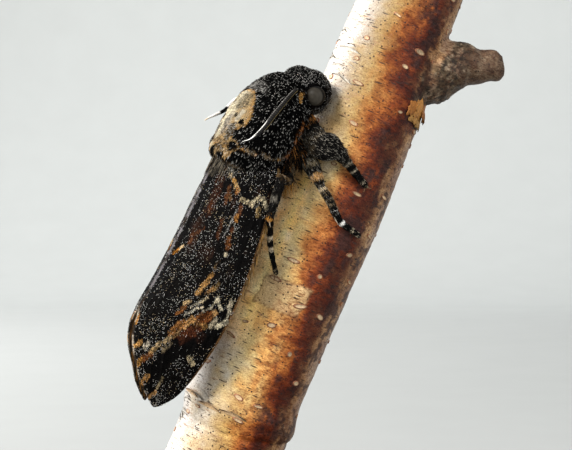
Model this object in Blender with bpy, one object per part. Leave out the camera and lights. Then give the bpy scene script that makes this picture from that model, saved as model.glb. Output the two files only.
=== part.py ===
"""A death's-head hawkmoth at rest, head up, on a cut length of birch branch held by a display stand.

Lengths in the tables are millimetres and are turned into metres as the meshes are made. The world is +Z up,
with its origin under the middle of the stand's base. The moth has a frame of its own: a runs forwards along
its body, d runs out of its back, r runs to its right, and all three are zero at the middle of the thorax.
"""

import math

import bmesh
import bpy
import numpy as np
from mathutils import Matrix, Vector
from mathutils.geometry import delaunay_2d_cdt

MM = 0.001
GAP = 0.3
RIGHT, LEFT = 1, -1

# Stand and branch
BASE_LENGTH, BASE_DEPTH, BASE_HEIGHT = 110.0, 80.0, 6.0
BASE_CORNER, BASE_EDGE = 9.0, 0.9
ROD_RADIUS, ROD_OFFSET, ROD_SIDES = 2.0, 5.5, 20
BRANCH_FOOT = Vector((-14.7, 0.0, 18.0))
BRANCH_LEAN = math.radians(22.4)
BRANCH_LENGTH = 116.3
BRANCH_SIDES, BRANCH_RINGS = 26, 25
BRANCH_RADII = (  # distance along the branch, radius, sideways drift of its middle
    (-6.0, 12.2, 0.0),
    (4.0, 12.1, 0.0),
    (9.5, 12.2, -0.1),
    (13.0, 13.0, -0.4),
    (16.5, 12.6, -0.7),
    (26.0, 12.5, -0.7),
    (45.0, 12.5, -0.2),
    (62.0, 12.5, 0.1),
    (76.0, 12.1, 0.2),
    (90.0, 11.7, 0.3),
    (103.0, 11.1, 0.0),
    (116.3, 10.7, 0.0),
)
BARK_WAVE = 0.12
STUB_STATIONS = (  # distance from the branch's axis, height on the branch, radius
    (2.0, 93.4, 6.6),
    (9.1, 95.9, 6.8),
    (11.8, 98.2, 6.4),
    (13.9, 99.8, 5.8),
    (16.4, 101.4, 4.85),
    (19.4, 102.0, 3.9),
    (21.5, 103.2, 3.55),
    (23.1, 103.9, 3.3),
    (24.1, 104.5, 2.1),
)
STUB_SIDES = 14

# The moth's own frame
MOTH_ORIGIN = Vector((-5.1, -13.3, 91.8))
MOTH_LEAN = math.radians(25.0)
MOTH_ROLL = math.radians(35.0)

BODY_SIDES = 24
THORAX_STATIONS = (  # a, height of the middle, half width, height above it, depth below it
    (-11.0, -2.0, 7.0, 7.6, 6.4),
    (-10.0, -1.4, 7.6, 8.9, 6.8),
    (-8.6, -0.8, 8.4, 9.1, 7.2),
    (-5.7, -0.2, 9.0, 8.2, 7.6),
    (-1.0, -0.5, 9.1, 8.2, 7.7),
    (3.0, -1.2, 8.7, 8.1, 7.2),
    (5.8, -2.2, 8.0, 8.0, 6.2),
    (8.5, -3.2, 7.0, 7.4, 5.0),
    (10.4, -4.2, 5.8, 6.5, 4.2),
    (11.4, -4.8, 4.8, 5.3, 3.2),
    (12.1, -5.4, 3.0, 3.2, 1.8),
)
TEGULA_CENTRE, TEGULA_RADII, TEGULA_TILT = (-1.2, -1.2, 6.9), (8.2, 3.7, 3.1), math.radians(-9.0)
ABDOMEN_FRONT, ABDOMEN_TIP = -11.3, -43.0
ABDOMEN_STATIONS = (
    (-11.3, -2.6, 5.8, 5.2, 6.1),
    (-15.0, -2.6, 5.9, 5.2, 6.2),
    (-20.0, -2.6, 5.9, 5.2, 6.2),
    (-25.0, -2.6, 5.7, 5.1, 5.9),
    (-30.0, -2.7, 5.2, 4.8, 5.3),
    (-35.0, -2.9, 4.4, 4.1, 4.4),
    (-39.0, -3.2, 3.3, 3.0, 3.2),
    (-43.0, -3.5, 1.3, 1.2, 1.3),
)
ABDOMEN_SEGMENTS, RINGS_PER_SEGMENT, GROOVE = 7, 3, 0.055

# Head: F points out of the face, U out of its crown
HEAD_CENTRE = (10.2, -6.0, 0.9)
HEAD_BOW = math.radians(63.0)
HEAD_RADII = (5.4, 5.0, 5.6)
FRONS_CENTRE, FRONS_RADII = (1.9, 1.3, 0.0), (2.7, 3.0, 3.4)
CROWN_CENTRE, CROWN_RADII = (-1.2, 1.0, -0.5), (4.0, 4.6, 5.1)
EYE_CENTRE, EYE_RADIUS = (-0.5, -0.1, 4.65), 2.15
HOLLOW_CENTRE, HOLLOW_RADIUS = (-0.4, -0.2, 5.0), 3.2  # the collar drawn back round the eye
PALP_LOW, PALP_HIGH, PALP_SIDE, PALP_RADIUS = (1.0, -4.1), (3.0, -1.9), 1.55, 1.0
PROBOSCIS_LOW, PROBOSCIS_HIGH, PROBOSCIS_RADIUS = (1.2, -4.5), (2.6, -3.2), 0.36
ANTENNA_PATHS = {  # a, d, distance from the middle plane, radius
    RIGHT: (
        (10.9, -3.6, 2.7, 0.45),
        (10.0, -2.1, 4.1, 0.46),
        (8.4, 0.4, 6.6, 0.50),
        (4.5, 2.7, 8.2, 0.58),
        (1.8, 3.8, 8.6, 0.62),
        (-0.9, 4.5, 8.65, 0.62),
        (-3.4, 5.7, 8.7, 0.45),
        (-4.6, 6.5, 8.6, 0.28),
        (-5.5, 7.5, 8.2, 0.16),
    ),
    LEFT: (
        (10.9, -3.4, 2.5, 0.45),
        (10.1, -2.1, 4.0, 0.46),
        (8.5, 0.2, 6.2, 0.50),
        (4.7, 1.8, 7.8, 0.58),
        (2.0, 3.6, 8.1, 0.62),
        (-0.5, 4.7, 8.05, 0.62),
        (-2.6, 6.6, 8.1, 0.45),
        (-3.6, 7.6, 8.0, 0.28),
        (-4.3, 8.3, 7.7, 0.16),
    ),
}

# Legs: a, d, distance from the middle plane, radius
FORE_LEG = {
    "coxa": ((5.4, -6.0, 4.4, 1.7), (3.6, -8.0, 5.8, 1.9)),
    "femur": ((2.9, -8.2, 6.1, 2.3), (1.2, -9.5, 8.5, 2.85), (1.3, -11.1, 10.6, 2.9), (1.2, -13.0, 11.4, 1.8)),
    "tibia": ((1.2, -13.2, 11.3, 1.6), (0.4, -15.2, 11.5, 1.05)),
    "tarsus": ((0.5, -15.0, 11.4, 0.95), (-0.4, -16.9, 12.2, 0.85), (-1.5, -19.0, 13.0, 0.7), (-2.6, -21.5, 13.7, 0.5)),
    "claws": ((-2.4, -23.4, 13.4), (-4.1, -21.9, 13.4)),
    "spurs": (),
}
MIDDLE_LEG = {
    "coxa": ((-0.6, -6.0, 4.2, 1.7), (-2.0, -8.9, 5.8, 1.8)),
    "femur": ((-2.0, -9.2, 6.0, 1.9), (-4.4, -11.2, 8.7, 1.7), (-7.0, -13.4, 10.8, 0.8)),
    "tibia": ((-7.0, -13.4, 10.8, 0.8), (-8.6, -15.6, 12.0, 0.85), (-10.3, -17.4, 12.8, 0.8)),
    "tarsus": ((-10.3, -17.4, 12.8, 0.7), (-11.8, -19.7, 13.6, 0.6), (-12.3, -22.5, 14.1, 0.5), (-12.7, -25.2, 14.0, 0.42)),
    "claws": ((-13.3, -26.3, 13.4), (-14.0, -25.5, 13.5)),
    "spurs": (((-10.2, -17.4, 12.9), (-12.4, -18.9, 14.0)),),
}
HIND_LEG = {
    "coxa": ((-6.0, -5.6, 4.0, 1.6), (-7.6, -7.4, 5.6, 1.3)),
    "femur": ((-7.6, -7.4, 5.6, 1.2), (-8.3, -6.3, 8.6, 1.1), (-8.8, -4.4, 10.8, 1.0), (-8.9, -2.9, 11.2, 0.9)),
    "tibia": ((-8.9, -2.9, 11.2, 0.95), (-13.2, -3.4, 11.5, 0.9), (-17.0, -4.1, 11.5, 0.8)),
    "tarsus": ((-17.0, -4.1, 11.5, 0.65), (-20.9, -8.2, 8.6, 0.55), (-23.8, -10.8, 7.9, 0.45), (-27.4, -13.4, 9.0, 0.4)),
    "claws": ((-29.1, -13.9, 8.7), (-28.0, -14.6, 9.6)),
    "spurs": (((-13.4, -3.5, 11.6), (-15.4, -4.6, 12.5)), ((-16.8, -4.2, 11.5), (-18.9, -5.0, 11.9))),
}
LEG_SIDES, TARSUS_SIDES, TARSOMERES = 8, 6, 5
CLAW_RADIUS, SPUR_RADIUS = 0.22, 0.28

# Wings folded like a roof. x runs back from the wing root, y runs from the ridge at 0 to the costa at 20.
WING_ROOT = 1.0
SECTION_WIDTH = 20.0
RIDGE_OFFSET = 0.3
ROOF = (  # a, height of the ridge, costa's distance from the middle plane, costa's height, shoulder's drop
    (1.0, 6.6, 7.6, -0.8, 3.0),
    (-3.3, 6.8, 8.2, -1.7, 3.1),
    (-10.2, 7.0, 9.6, -3.1, 3.2),
    (-18.0, 7.0, 10.4, -4.3, 2.9),
    (-25.8, 7.1, 10.8, -5.3, 2.9),
    (-38.7, 7.6, 10.7, -6.3, 2.0),
    (-46.0, 8.3, 9.8, -6.5, 1.6),
    (-49.9, 8.1, 8.6, -6.7, 1.6),
    (-52.5, 7.2, 7.7, -6.8, 1.6),
    (-55.0, 5.5, 6.9, -6.8, 1.6),
    (-57.0, 3.9, 6.1, -6.7, 1.6),
    (-59.5, 2.1, 5.0, -6.5, 1.6),
    (-61.5, 0.5, 4.0, -5.8, 1.6),
    (-63.6, -1.5, 2.6, -4.6, 1.6),
)
SHOULDER_OUT = 0.7
FOREWING_THICKNESS, HINDWING_THICKNESS, WING_SPACING = 0.5, 0.5, 0.4
VEIN_HEIGHT, VEIN_HALF_WIDTH = 0.24, 0.45
FOREWING_OUTLINE = (
    (1.2, 15.2),
    (1.0, 18.0),
    (3.0, 19.5),
    (10.0, 19.95),
    (22.0, 20.2),
    (36.0, 20.25),
    (48.0, 20.2),
    (56.0, 20.05),
    (60.0, 19.9),
    (63.0, 19.4),
    (64.2, 18.0),
    (64.4, 14.5),
    (63.6, 10.0),
    (62.2, 6.2),
    (60.0, 3.7),
    (57.0, 2.5),
    (53.0, 1.9),
    (48.6, 0.9),
    (45.6, 0.1),
    (36.0, -0.08),
    (24.0, -0.1),
    (14.0, 0.05),
    (9.6, 1.2),
    (5.0, 8.0),
)
FOREWING_VEINS = (
    ((2.6, 17.6), (18.0, 18.9), (33.0, 19.5)),
    ((2.8, 16.5), (14.0, 17.3), (28.0, 17.0), (44.0, 18.9), (51.0, 19.5)),
    ((28.0, 17.0), (42.0, 17.6), (58.0, 19.4)),
    ((28.6, 16.2), (44.0, 16.8), (63.2, 18.6)),
    ((28.9, 15.0), (46.0, 14.6), (63.6, 16.0)),
    ((28.7, 13.4), (46.0, 12.0), (63.2, 12.8)),
    ((27.4, 11.4), (44.0, 9.2), (62.2, 9.2)),
    ((24.0, 11.6), (40.0, 7.4), (60.4, 6.0)),
    ((17.0, 12.3), (34.0, 6.2), (56.4, 3.8)),
    ((2.8, 15.6), (10.0, 13.3), (17.0, 12.3), (24.0, 11.6), (27.4, 11.4)),
    ((3.6, 14.4), (12.0, 7.6), (28.0, 3.4), (50.6, 2.2)),
    ((28.0, 17.0), (28.9, 15.0), (28.7, 13.4), (27.4, 11.4)),
)
HINDWING_OUTLINE = (
    (3.2, 14.8),
    (3.4, 19.2),
    (8.0, 20.2),
    (16.0, 20.8),
    (26.0, 20.9),
    (34.0, 19.9),
    (38.6, 17.8),
    (39.4, 15.6),
    (37.8, 11.6),
    (34.4, 7.4),
    (30.0, 3.8),
    (26.0, 2.0),
    (18.0, 2.0),
    (12.0, 3.6),
    (7.0, 9.0),
)
HINDWING_VEINS = (
    ((4.6, 18.2), (16.0, 19.8), (33.0, 19.2)),
    ((4.6, 17.4), (15.0, 17.8), (27.0, 17.7), (37.8, 17.0)),
    ((15.0, 17.8), (27.0, 15.6), (38.4, 14.9)),
    ((14.6, 15.2), (26.0, 13.0), (36.9, 11.6)),
    ((14.0, 14.0), (24.0, 10.6), (34.2, 8.4)),
    ((4.8, 16.0), (14.0, 14.0), (22.0, 8.2), (30.0, 5.0)),
    ((5.2, 14.6), (14.0, 8.6), (24.6, 3.4)),
)
GRID_STEP, OUTLINE_STEP, VEIN_STEP = 5.0, 3.2, 4.5


def clear_scene():
    for thing in list(bpy.data.objects):
        bpy.data.objects.remove(thing, do_unlink=True)


def make_material(name, colour, roughness, metallic=0.0):
    material = bpy.data.materials.new(name)
    material.use_nodes = True
    shader = material.node_tree.nodes["Principled BSDF"]
    shader.inputs["Base Color"].default_value = (*colour, 1.0)
    shader.inputs["Roughness"].default_value = roughness
    shader.inputs["Metallic"].default_value = metallic
    return material


def make_object(name, points, faces, material):
    """An object whose mesh has these points, given in millimetres."""
    mesh = bpy.data.meshes.new(name)
    mesh.from_pydata([Vector(point) * MM for point in points], [], faces)
    mesh.update()
    if material:
        mesh.materials.append(material)
    thing = bpy.data.objects.new(name, mesh)
    bpy.context.scene.collection.objects.link(thing)
    return thing


def spline(stations):
    """A smooth curve through rows whose first number is the parameter; returns a function of it."""
    rows = np.array(sorted(stations), dtype=float)
    at, values = rows[:, 0], rows[:, 1:]
    slopes = np.gradient(values, at, axis=0)

    def value(x):
        x = min(max(x, at[0]), at[-1])
        i = min(max(int(np.searchsorted(at, x)) - 1, 0), len(at) - 2)
        step = at[i + 1] - at[i]
        t = (x - at[i]) / step
        return (
            (2 * t**3 - 3 * t**2 + 1) * values[i]
            + (t**3 - 2 * t**2 + t) * step * slopes[i]
            + (-2 * t**3 + 3 * t**2) * values[i + 1]
            + (t**3 - t**2) * step * slopes[i + 1]
        )

    return value


def curve_through(points, count):
    """Evenly spread points on a smooth curve through the given ones, of any dimension."""
    points = np.array(points, dtype=float)
    ways = np.linalg.norm(np.diff(points[:, :3], axis=0), axis=1)
    lengths = np.concatenate([[0.0], np.cumsum(ways)])
    along = spline([(s, *point) for s, point in zip(lengths, points)])
    return [along(s) for s in np.linspace(0.0, lengths[-1], count)]


# Placing things in the moth's frame


def moth_axes():
    forward = Vector((math.sin(MOTH_LEAN), 0.0, math.cos(MOTH_LEAN)))
    sideways = Vector((-math.cos(MOTH_LEAN), 0.0, math.sin(MOTH_LEAN)))
    dorsal = sideways * math.cos(MOTH_ROLL) + Vector((0.0, -1.0, 0.0)) * math.sin(MOTH_ROLL)
    return forward, dorsal, forward.cross(dorsal)


FORWARD, DORSAL, RIGHTWARD = moth_axes()


def place(a, d, r):
    """A point of the moth's frame in the world, in millimetres."""
    return MOTH_ORIGIN + FORWARD * a + DORSAL * d + RIGHTWARD * r


def place_in_head(f, u, r):
    """A point of the head's frame in the world, in millimetres."""
    a = HEAD_CENTRE[0] + f * math.cos(HEAD_BOW) + u * math.sin(HEAD_BOW)
    d = HEAD_CENTRE[1] - f * math.sin(HEAD_BOW) + u * math.cos(HEAD_BOW)
    return place(a, d, HEAD_CENTRE[2] + r)


# Closed shapes

ROUND_END = ((0.75, 0.45), (0.35, 0.8))  # how far a rounded end's rings stand out, and their share of the radius


def loft(name, rings, material=None):
    """A closed skin over rings of equal length, with a fan over each end."""
    points = [point for ring in rings for point in ring]
    sides = len(rings[0])
    faces = []
    for i in range(len(rings) - 1):
        for j in range(sides):
            k = (j + 1) % sides
            faces.append((i * sides + j, i * sides + k, (i + 1) * sides + k, (i + 1) * sides + j))
    for i, flip in ((0, True), (len(rings) - 1, False)):
        middle = sum((Vector(point) for point in rings[i]), Vector()) / sides
        points.append(middle)
        for j in range(sides):
            k = (j + 1) % sides
            edge = (i * sides + j, i * sides + k)
            faces.append((*(reversed(edge) if flip else edge), len(points) - 1))
    thing = make_object(name, points, faces, material)
    face_outwards(thing)
    return thing


def face_outwards(thing):
    mesh = bmesh.new()
    mesh.from_mesh(thing.data)
    bmesh.ops.recalc_face_normals(mesh, faces=mesh.faces)
    if mesh.calc_volume(signed=True) < 0:
        bmesh.ops.reverse_faces(mesh, faces=mesh.faces)
    mesh.to_mesh(thing.data)
    mesh.free()


def ellipse_ring(a, station, scale=1.0):
    """A ring of the body: flatter below than above, across the moth's long axis."""
    middle, half_width, above, below = station
    ring = []
    for j in range(BODY_SIDES):
        angle = 2 * math.pi * j / BODY_SIDES
        height = above if math.sin(angle) > 0 else below
        ring.append(
            place(a, middle + scale * height * math.sin(angle), scale * half_width * math.cos(angle))
        )
    return ring


def round_shape(name, centre_to_world, centre, radii, columns=24, rows=14, tilt=0.0):
    """A closed ellipsoid in whatever frame centre_to_world takes."""
    rings = []
    for i in range(rows):
        polar = math.pi * (i + 0.5) / rows
        ring = []
        for j in range(columns):
            angle = 2 * math.pi * j / columns
            x = radii[0] * math.cos(polar)
            y = radii[1] * math.sin(polar) * math.sin(angle)
            z = radii[2] * math.sin(polar) * math.cos(angle)
            x, y = x * math.cos(tilt) - y * math.sin(tilt), x * math.sin(tilt) + y * math.cos(tilt)
            ring.append(centre_to_world(centre[0] + x, centre[1] + y, centre[2] + z))
        rings.append(ring)
    return loft(name, rings)


def tube(name, path, sides, count, swell=None):
    """A closed round tube along path, whose points are a world position and a radius."""
    stations = curve_through(path, count)
    centres = [Vector(station[:3]) for station in stations]
    radii = [station[3] for station in stations]
    if swell:
        radii = [radius * swell(i / (count - 1)) for i, radius in enumerate(radii)]
    first, last = (centres[1] - centres[0]).normalized(), (centres[-1] - centres[-2]).normalized()
    head = [(centres[0] - first * radii[0] * inset, radii[0] * share) for inset, share in ROUND_END]
    tail = [(centres[-1] + last * radii[-1] * inset, radii[-1] * share) for inset, share in ROUND_END]
    centres = [centre for centre, _ in head] + centres + [centre for centre, _ in reversed(tail)]
    radii = [radius for _, radius in head] + radii + [radius for _, radius in reversed(tail)]
    side = first.orthogonal().normalized()
    rings = []
    for i, centre in enumerate(centres):
        ahead = centres[min(i + 1, len(centres) - 1)] - centres[max(i - 1, 0)]
        ahead.normalize()
        side = (side - ahead * side.dot(ahead)).normalized()
        other = ahead.cross(side)
        rings.append(
            [
                centre
                + side * radii[i] * math.cos(2 * math.pi * j / sides)
                + other * radii[i] * math.sin(2 * math.pi * j / sides)
                for j in range(sides)
            ]
        )
    return loft(name, rings)


def spike(name, root, tip, radius, sides=5):
    """A short closed cone, a little blunt at its tip."""
    root, tip = Vector(root), Vector(tip)
    ahead = (tip - root).normalized()
    side = ahead.orthogonal().normalized()
    other = ahead.cross(side)
    rings = []
    for share, thick in ((0.0, 1.0), (0.55, 0.75), (1.0, 0.3)):
        rings.append(
            [
                root.lerp(tip, share)
                + (side * math.cos(2 * math.pi * j / sides) + other * math.sin(2 * math.pi * j / sides))
                * radius
                * thick
                for j in range(sides)
            ]
        )
    return loft(name, rings)


# Joining and parting


def apply_modifiers(thing):
    graph = bpy.context.evaluated_depsgraph_get()
    mesh = bpy.data.meshes.new_from_object(thing.evaluated_get(graph))
    thing.modifiers.clear()
    thing.data = mesh


def join(name, pieces, material, solver="EXACT"):
    """One closed body from overlapping closed pieces."""
    body, others = pieces[0], pieces[1:]
    body.name = name
    if others:
        group = bpy.data.collections.new(name + "_pieces")
        bpy.context.scene.collection.children.link(group)
        for piece in others:
            bpy.context.scene.collection.objects.unlink(piece)
            group.objects.link(piece)
        fuse = body.modifiers.new("fuse", "BOOLEAN")
        fuse.operation, fuse.solver = "UNION", solver
        fuse.operand_type, fuse.collection = "COLLECTION", group
        apply_modifiers(body)
        for piece in others:
            bpy.data.objects.remove(piece, do_unlink=True)
        bpy.data.collections.remove(group)
    finish_mesh(body, material)
    return body


def cut_clear(body, neighbour, material, solver="EXACT"):
    """Takes the neighbour, grown by the gap, out of the body."""
    grown = grown_copy(neighbour, GAP)
    parting = body.modifiers.new("part", "BOOLEAN")
    parting.operation, parting.solver, parting.object = "DIFFERENCE", solver, grown
    apply_modifiers(body)
    bpy.data.objects.remove(grown, do_unlink=True)
    finish_mesh(body, material)


def grown_copy(thing, distance):
    copy = bpy.data.objects.new(thing.name + "_grown", thing.data.copy())
    bpy.context.scene.collection.objects.link(copy)
    copy.display_type, copy.hide_render = "WIRE", True
    shifts = [vertex.normal * distance * MM for vertex in copy.data.vertices]
    for vertex, shift in zip(copy.data.vertices, shifts):
        vertex.co += shift
    return copy


def finish_mesh(body, material):
    """Keeps the largest closed surface, in triangles, with one material."""
    mesh = bmesh.new()
    mesh.from_mesh(body.data)
    bmesh.ops.remove_doubles(mesh, verts=mesh.verts, dist=0.002 * MM)
    bmesh.ops.dissolve_degenerate(mesh, edges=mesh.edges, dist=0.002 * MM)
    bmesh.ops.triangulate(mesh, faces=mesh.faces)
    mesh.verts.ensure_lookup_table()
    unseen, groups = set(mesh.verts), []
    while unseen:
        start = unseen.pop()
        group, edge_of_group = {start}, [start]
        while edge_of_group:
            for edge in edge_of_group.pop().link_edges:
                for vertex in edge.verts:
                    if vertex in unseen:
                        unseen.remove(vertex)
                        group.add(vertex)
                        edge_of_group.append(vertex)
        groups.append(group)
    groups.sort(key=len)
    for group in groups[:-1]:
        bmesh.ops.delete(mesh, geom=list(group), context="VERTS")
    for face in mesh.faces:
        face.material_index = 0
    mesh.to_mesh(body.data)
    mesh.free()
    body.data.materials.clear()
    body.data.materials.append(material)


def shade_round(thing, angle=40.0):
    thing.data.shade_smooth()
    thing.data.set_sharp_from_angle(angle=math.radians(angle))


# Stand and branch


def make_stand(wood, brass):
    base = make_object("stand_base", *plate(BASE_LENGTH, BASE_DEPTH, BASE_HEIGHT, BASE_CORNER), wood)
    bevel = base.modifiers.new("edge", "BEVEL")
    bevel.width, bevel.segments, bevel.limit_method = BASE_EDGE * MM, 2, "ANGLE"
    bevel.angle_limit = math.radians(50.0)
    for name, side in (("stand_rod_left", -1), ("stand_rod_right", 1)):
        x = BRANCH_FOOT.x + side * ROD_OFFSET
        rings = []
        for z in (BASE_HEIGHT + GAP, BRANCH_FOOT.z - GAP):
            rings.append(
                [
                    (
                        x + ROD_RADIUS * math.cos(2 * math.pi * j / ROD_SIDES),
                        ROD_RADIUS * math.sin(2 * math.pi * j / ROD_SIDES),
                        z,
                    )
                    for j in range(ROD_SIDES)
                ]
            )
        shade_round(loft(name, rings, brass))


def plate(length, depth, height, corner, steps=6):
    """Points and faces of a flat plate with round corners, standing on the floor."""
    outline = []
    for cx, cy, start in ((1, 1, 0), (-1, 1, 90), (-1, -1, 180), (1, -1, 270)):
        for i in range(steps + 1):
            angle = math.radians(start + 90 * i / steps)
            x = cx * (length / 2 - corner) + corner * math.cos(angle)
            y = cy * (depth / 2 - corner) + corner * math.sin(angle)
            outline.append((x, y))
    count = len(outline)
    points = [(x, y, z) for z in (0.0, height) for x, y in outline]
    faces = [tuple(reversed(range(count))), tuple(range(count, 2 * count))]
    for i in range(count):
        k = (i + 1) % count
        faces.append((i, k, count + k, count + i))
    return points, faces


BRANCH_UP = Vector((math.sin(BRANCH_LEAN), 0.0, math.cos(BRANCH_LEAN)))
BRANCH_ACROSS = Vector((math.cos(BRANCH_LEAN), 0.0, -math.sin(BRANCH_LEAN)))
BACKWARD = Vector((0.0, 1.0, 0.0))


def branch_ring(s, shape):
    """A ring of the branch at the distance s from its foot, with slow waves in the bark."""
    radius, drift = shape(s)
    centre = BRANCH_FOOT + BRANCH_UP * s + BRANCH_ACROSS * drift
    ring = []
    for j in range(BRANCH_SIDES):
        angle = 2 * math.pi * j / BRANCH_SIDES
        wave = math.sin(3 * angle + s / 9.0) + math.sin(2 * angle - s / 5.3 + 1.0)
        reach = radius + BARK_WAVE * 0.5 * wave
        ring.append(
            centre + BRANCH_ACROSS * reach * math.cos(angle) + BACKWARD * reach * math.sin(angle)
        )
    return ring


def make_branch(bark):
    shape = spline(BRANCH_RADII)
    rings = [branch_ring(s, shape) for s in np.linspace(-6.0, BRANCH_LENGTH, BRANCH_RINGS)]
    trunk = loft("branch", rings)
    stub_rings = []
    for i, (out, up, radius) in enumerate(STUB_STATIONS):
        near, far = STUB_STATIONS[max(i - 1, 0)], STUB_STATIONS[min(i + 1, len(STUB_STATIONS) - 1)]
        ahead = (BRANCH_ACROSS * (far[0] - near[0]) + BRANCH_UP * (far[1] - near[1])).normalized()
        side = ahead.cross(BACKWARD).normalized()
        centre = BRANCH_FOOT + BRANCH_ACROSS * out + BRANCH_UP * up
        ring = []
        for j in range(STUB_SIDES):
            angle = 2 * math.pi * j / STUB_SIDES
            reach = radius * (1 + 0.05 * math.sin(3 * angle + out))
            ring.append(centre + side * reach * math.cos(angle) + BACKWARD * reach * math.sin(angle))
        stub_rings.append(ring)
    branch = join("branch", [trunk, loft("stub", stub_rings)], bark)
    saw = make_object("saw", *plate(60.0, 60.0, 30.0, 5.0), None)
    saw.data.transform(Matrix.Translation(Vector((BRANCH_FOOT.x, 0.0, BRANCH_FOOT.z - 30.0)) * MM))
    level = branch.modifiers.new("level", "BOOLEAN")
    level.operation, level.solver, level.object = "DIFFERENCE", "EXACT", saw
    apply_modifiers(branch)
    bpy.data.objects.remove(saw, do_unlink=True)
    finish_mesh(branch, bark)
    shade_round(branch)
    return branch


# Body


def make_thorax(fur):
    shape = spline(THORAX_STATIONS)
    rings = [ellipse_ring(a, shape(a)) for a in np.linspace(-11.0, 12.1, 20)]
    pieces = [loft("thorax", rings)]
    for side in (RIGHT, LEFT):
        centre = (*TEGULA_CENTRE[:2], side * TEGULA_CENTRE[2])
        pieces.append(round_shape("tegula", place, centre, TEGULA_RADII, 16, 12, TEGULA_TILT))
    return join("thorax", pieces, fur)


def make_abdomen(skin):
    shape = spline(ABDOMEN_STATIONS)
    count = ABDOMEN_SEGMENTS * RINGS_PER_SEGMENT
    rings = []
    for i in range(count + 1):
        a = ABDOMEN_FRONT + (ABDOMEN_TIP - ABDOMEN_FRONT) * i / count
        step = (i % RINGS_PER_SEGMENT) / RINGS_PER_SEGMENT
        pinch = 1.0 - GROOVE * (1.0 - math.sin(math.pi * step)) * (0 < i < count)
        rings.append(ellipse_ring(a, shape(a), pinch))
    abdomen = loft("abdomen", rings, skin)
    finish_mesh(abdomen, skin)
    return abdomen


def make_head(fur):
    skull = round_shape("head", place_in_head, (0.0, 0.0, 0.0), HEAD_RADII, 18, 11)
    frons = round_shape("frons", place_in_head, FRONS_CENTRE, FRONS_RADII, 12, 7)
    crown = round_shape("crown", place_in_head, CROWN_CENTRE, CROWN_RADII, 14, 8)
    return join("head", [skull, frons, crown], fur)


def make_eye(name, side, glassy):
    centre = (*EYE_CENTRE[:2], side * EYE_CENTRE[2])
    eye = round_shape(name, place_in_head, centre, (EYE_RADIUS,) * 3, 14, 9)
    finish_mesh(eye, glassy)
    shade_round(eye)
    return eye


def make_palp(name, side, fur):
    path = [(*place_in_head(*PALP_LOW, side * PALP_SIDE), PALP_RADIUS * 0.9)]
    middle = [(low + high) / 2 for low, high in zip(PALP_LOW, PALP_HIGH)]
    path.append((*place_in_head(middle[0] + 0.35, middle[1] - 0.35, side * PALP_SIDE), PALP_RADIUS))
    path.append((*place_in_head(*PALP_HIGH, side * PALP_SIDE * 0.85), PALP_RADIUS * 0.7))
    palp = tube(name, path, 8, 5)
    finish_mesh(palp, fur)
    return palp


def make_proboscis(horn):
    path = [(*place_in_head(*end, 0.0), PROBOSCIS_RADIUS) for end in (PROBOSCIS_LOW, PROBOSCIS_HIGH)]
    proboscis = tube("proboscis", path, 6, 3)
    finish_mesh(proboscis, horn)
    return proboscis


def make_antenna(name, side, horn):
    path = [(*place(a, d, side * r), radius) for a, d, r, radius in ANTENNA_PATHS[side]]
    antenna = tube(name, path, 8, 18)
    finish_mesh(antenna, horn)
    return antenna


# Legs


def leg_path(rows, side):
    return [(*place(a, d, side * r), radius) for a, d, r, radius in rows]


def tarsus_swell(share):
    """Each tarsomere widens towards its far end."""
    return 1.1 if round(2 * share * TARSOMERES) % 2 else 0.9


def make_leg(name, plan, side, horn):
    pieces = [
        tube(name, leg_path(plan["femur"], side), LEG_SIDES, 6),
        tube("coxa", leg_path(plan["coxa"], side), LEG_SIDES, 3),
        tube("tibia", leg_path(plan["tibia"], side), LEG_SIDES, 4),
        tube("tarsus", leg_path(plan["tarsus"], side), TARSUS_SIDES, 2 * TARSOMERES + 1, tarsus_swell),
    ]
    end = plan["tarsus"][-1]
    for a, d, r in plan["claws"]:
        root = place(*end[:2], side * end[2])
        pieces.append(spike("claw", root, place(a, d, side * r), CLAW_RADIUS))
    for root, tip in plan["spurs"]:
        ends = [place(a, d, side * r) for a, d, r in (root, tip)]
        pieces.append(spike("spur", *ends, SPUR_RADIUS))
    return join(name, pieces, horn)


# Wings

ROOF_SHAPE = spline(ROOF)


def roof_point(x, y):
    """The wing's outer surface in the moth's frame, for a point of the flat wing."""
    a = WING_ROOT - x
    ridge, costa_out, costa_height, drop = ROOF_SHAPE(a)
    t = y / SECTION_WIDTH
    start = np.array((ridge, RIDGE_OFFSET))
    shoulder = np.array((ridge - drop, SHOULDER_OUT * costa_out))
    end = np.array((costa_height, costa_out))
    if t > 1.0:
        d, r = end + 2 * (t - 1.0) * (end - shoulder)
    else:
        d, r = (1 - t) ** 2 * start + 2 * t * (1 - t) * shoulder + t**2 * end
    return np.array((a, d, r))


def roof_normal(x, y):
    step = 0.05
    along = roof_point(x + step, y) - roof_point(x - step, y)
    across = roof_point(x, y + step) - roof_point(x, y - step)
    normal = np.cross(across, along)
    normal /= np.linalg.norm(normal)
    return normal if normal[1] + normal[2] > 0 else -normal


def flat_curve(points, step, closed=False):
    """Points about one step apart on a smooth line through those given."""
    points = [np.array(point, dtype=float) for point in points]
    line = []
    count = len(points)
    spans = count if closed else count - 1
    for i in range(spans):
        before = points[i - 1] if closed or i > 0 else points[0]
        start, end = points[i], points[(i + 1) % count]
        after = points[(i + 2) % count] if closed or i + 2 < count else points[-1]
        pieces = max(1, round(float(np.linalg.norm(end - start)) / step))
        for k in range(pieces):
            t = k / pieces
            line.append(
                0.5
                * (
                    2 * start
                    + (end - before) * t
                    + (2 * before - 5 * start + 4 * end - after) * t**2
                    + (3 * start - before - 3 * end + after) * t**3
                )
            )
    if not closed:
        line.append(points[-1])
    return line


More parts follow.
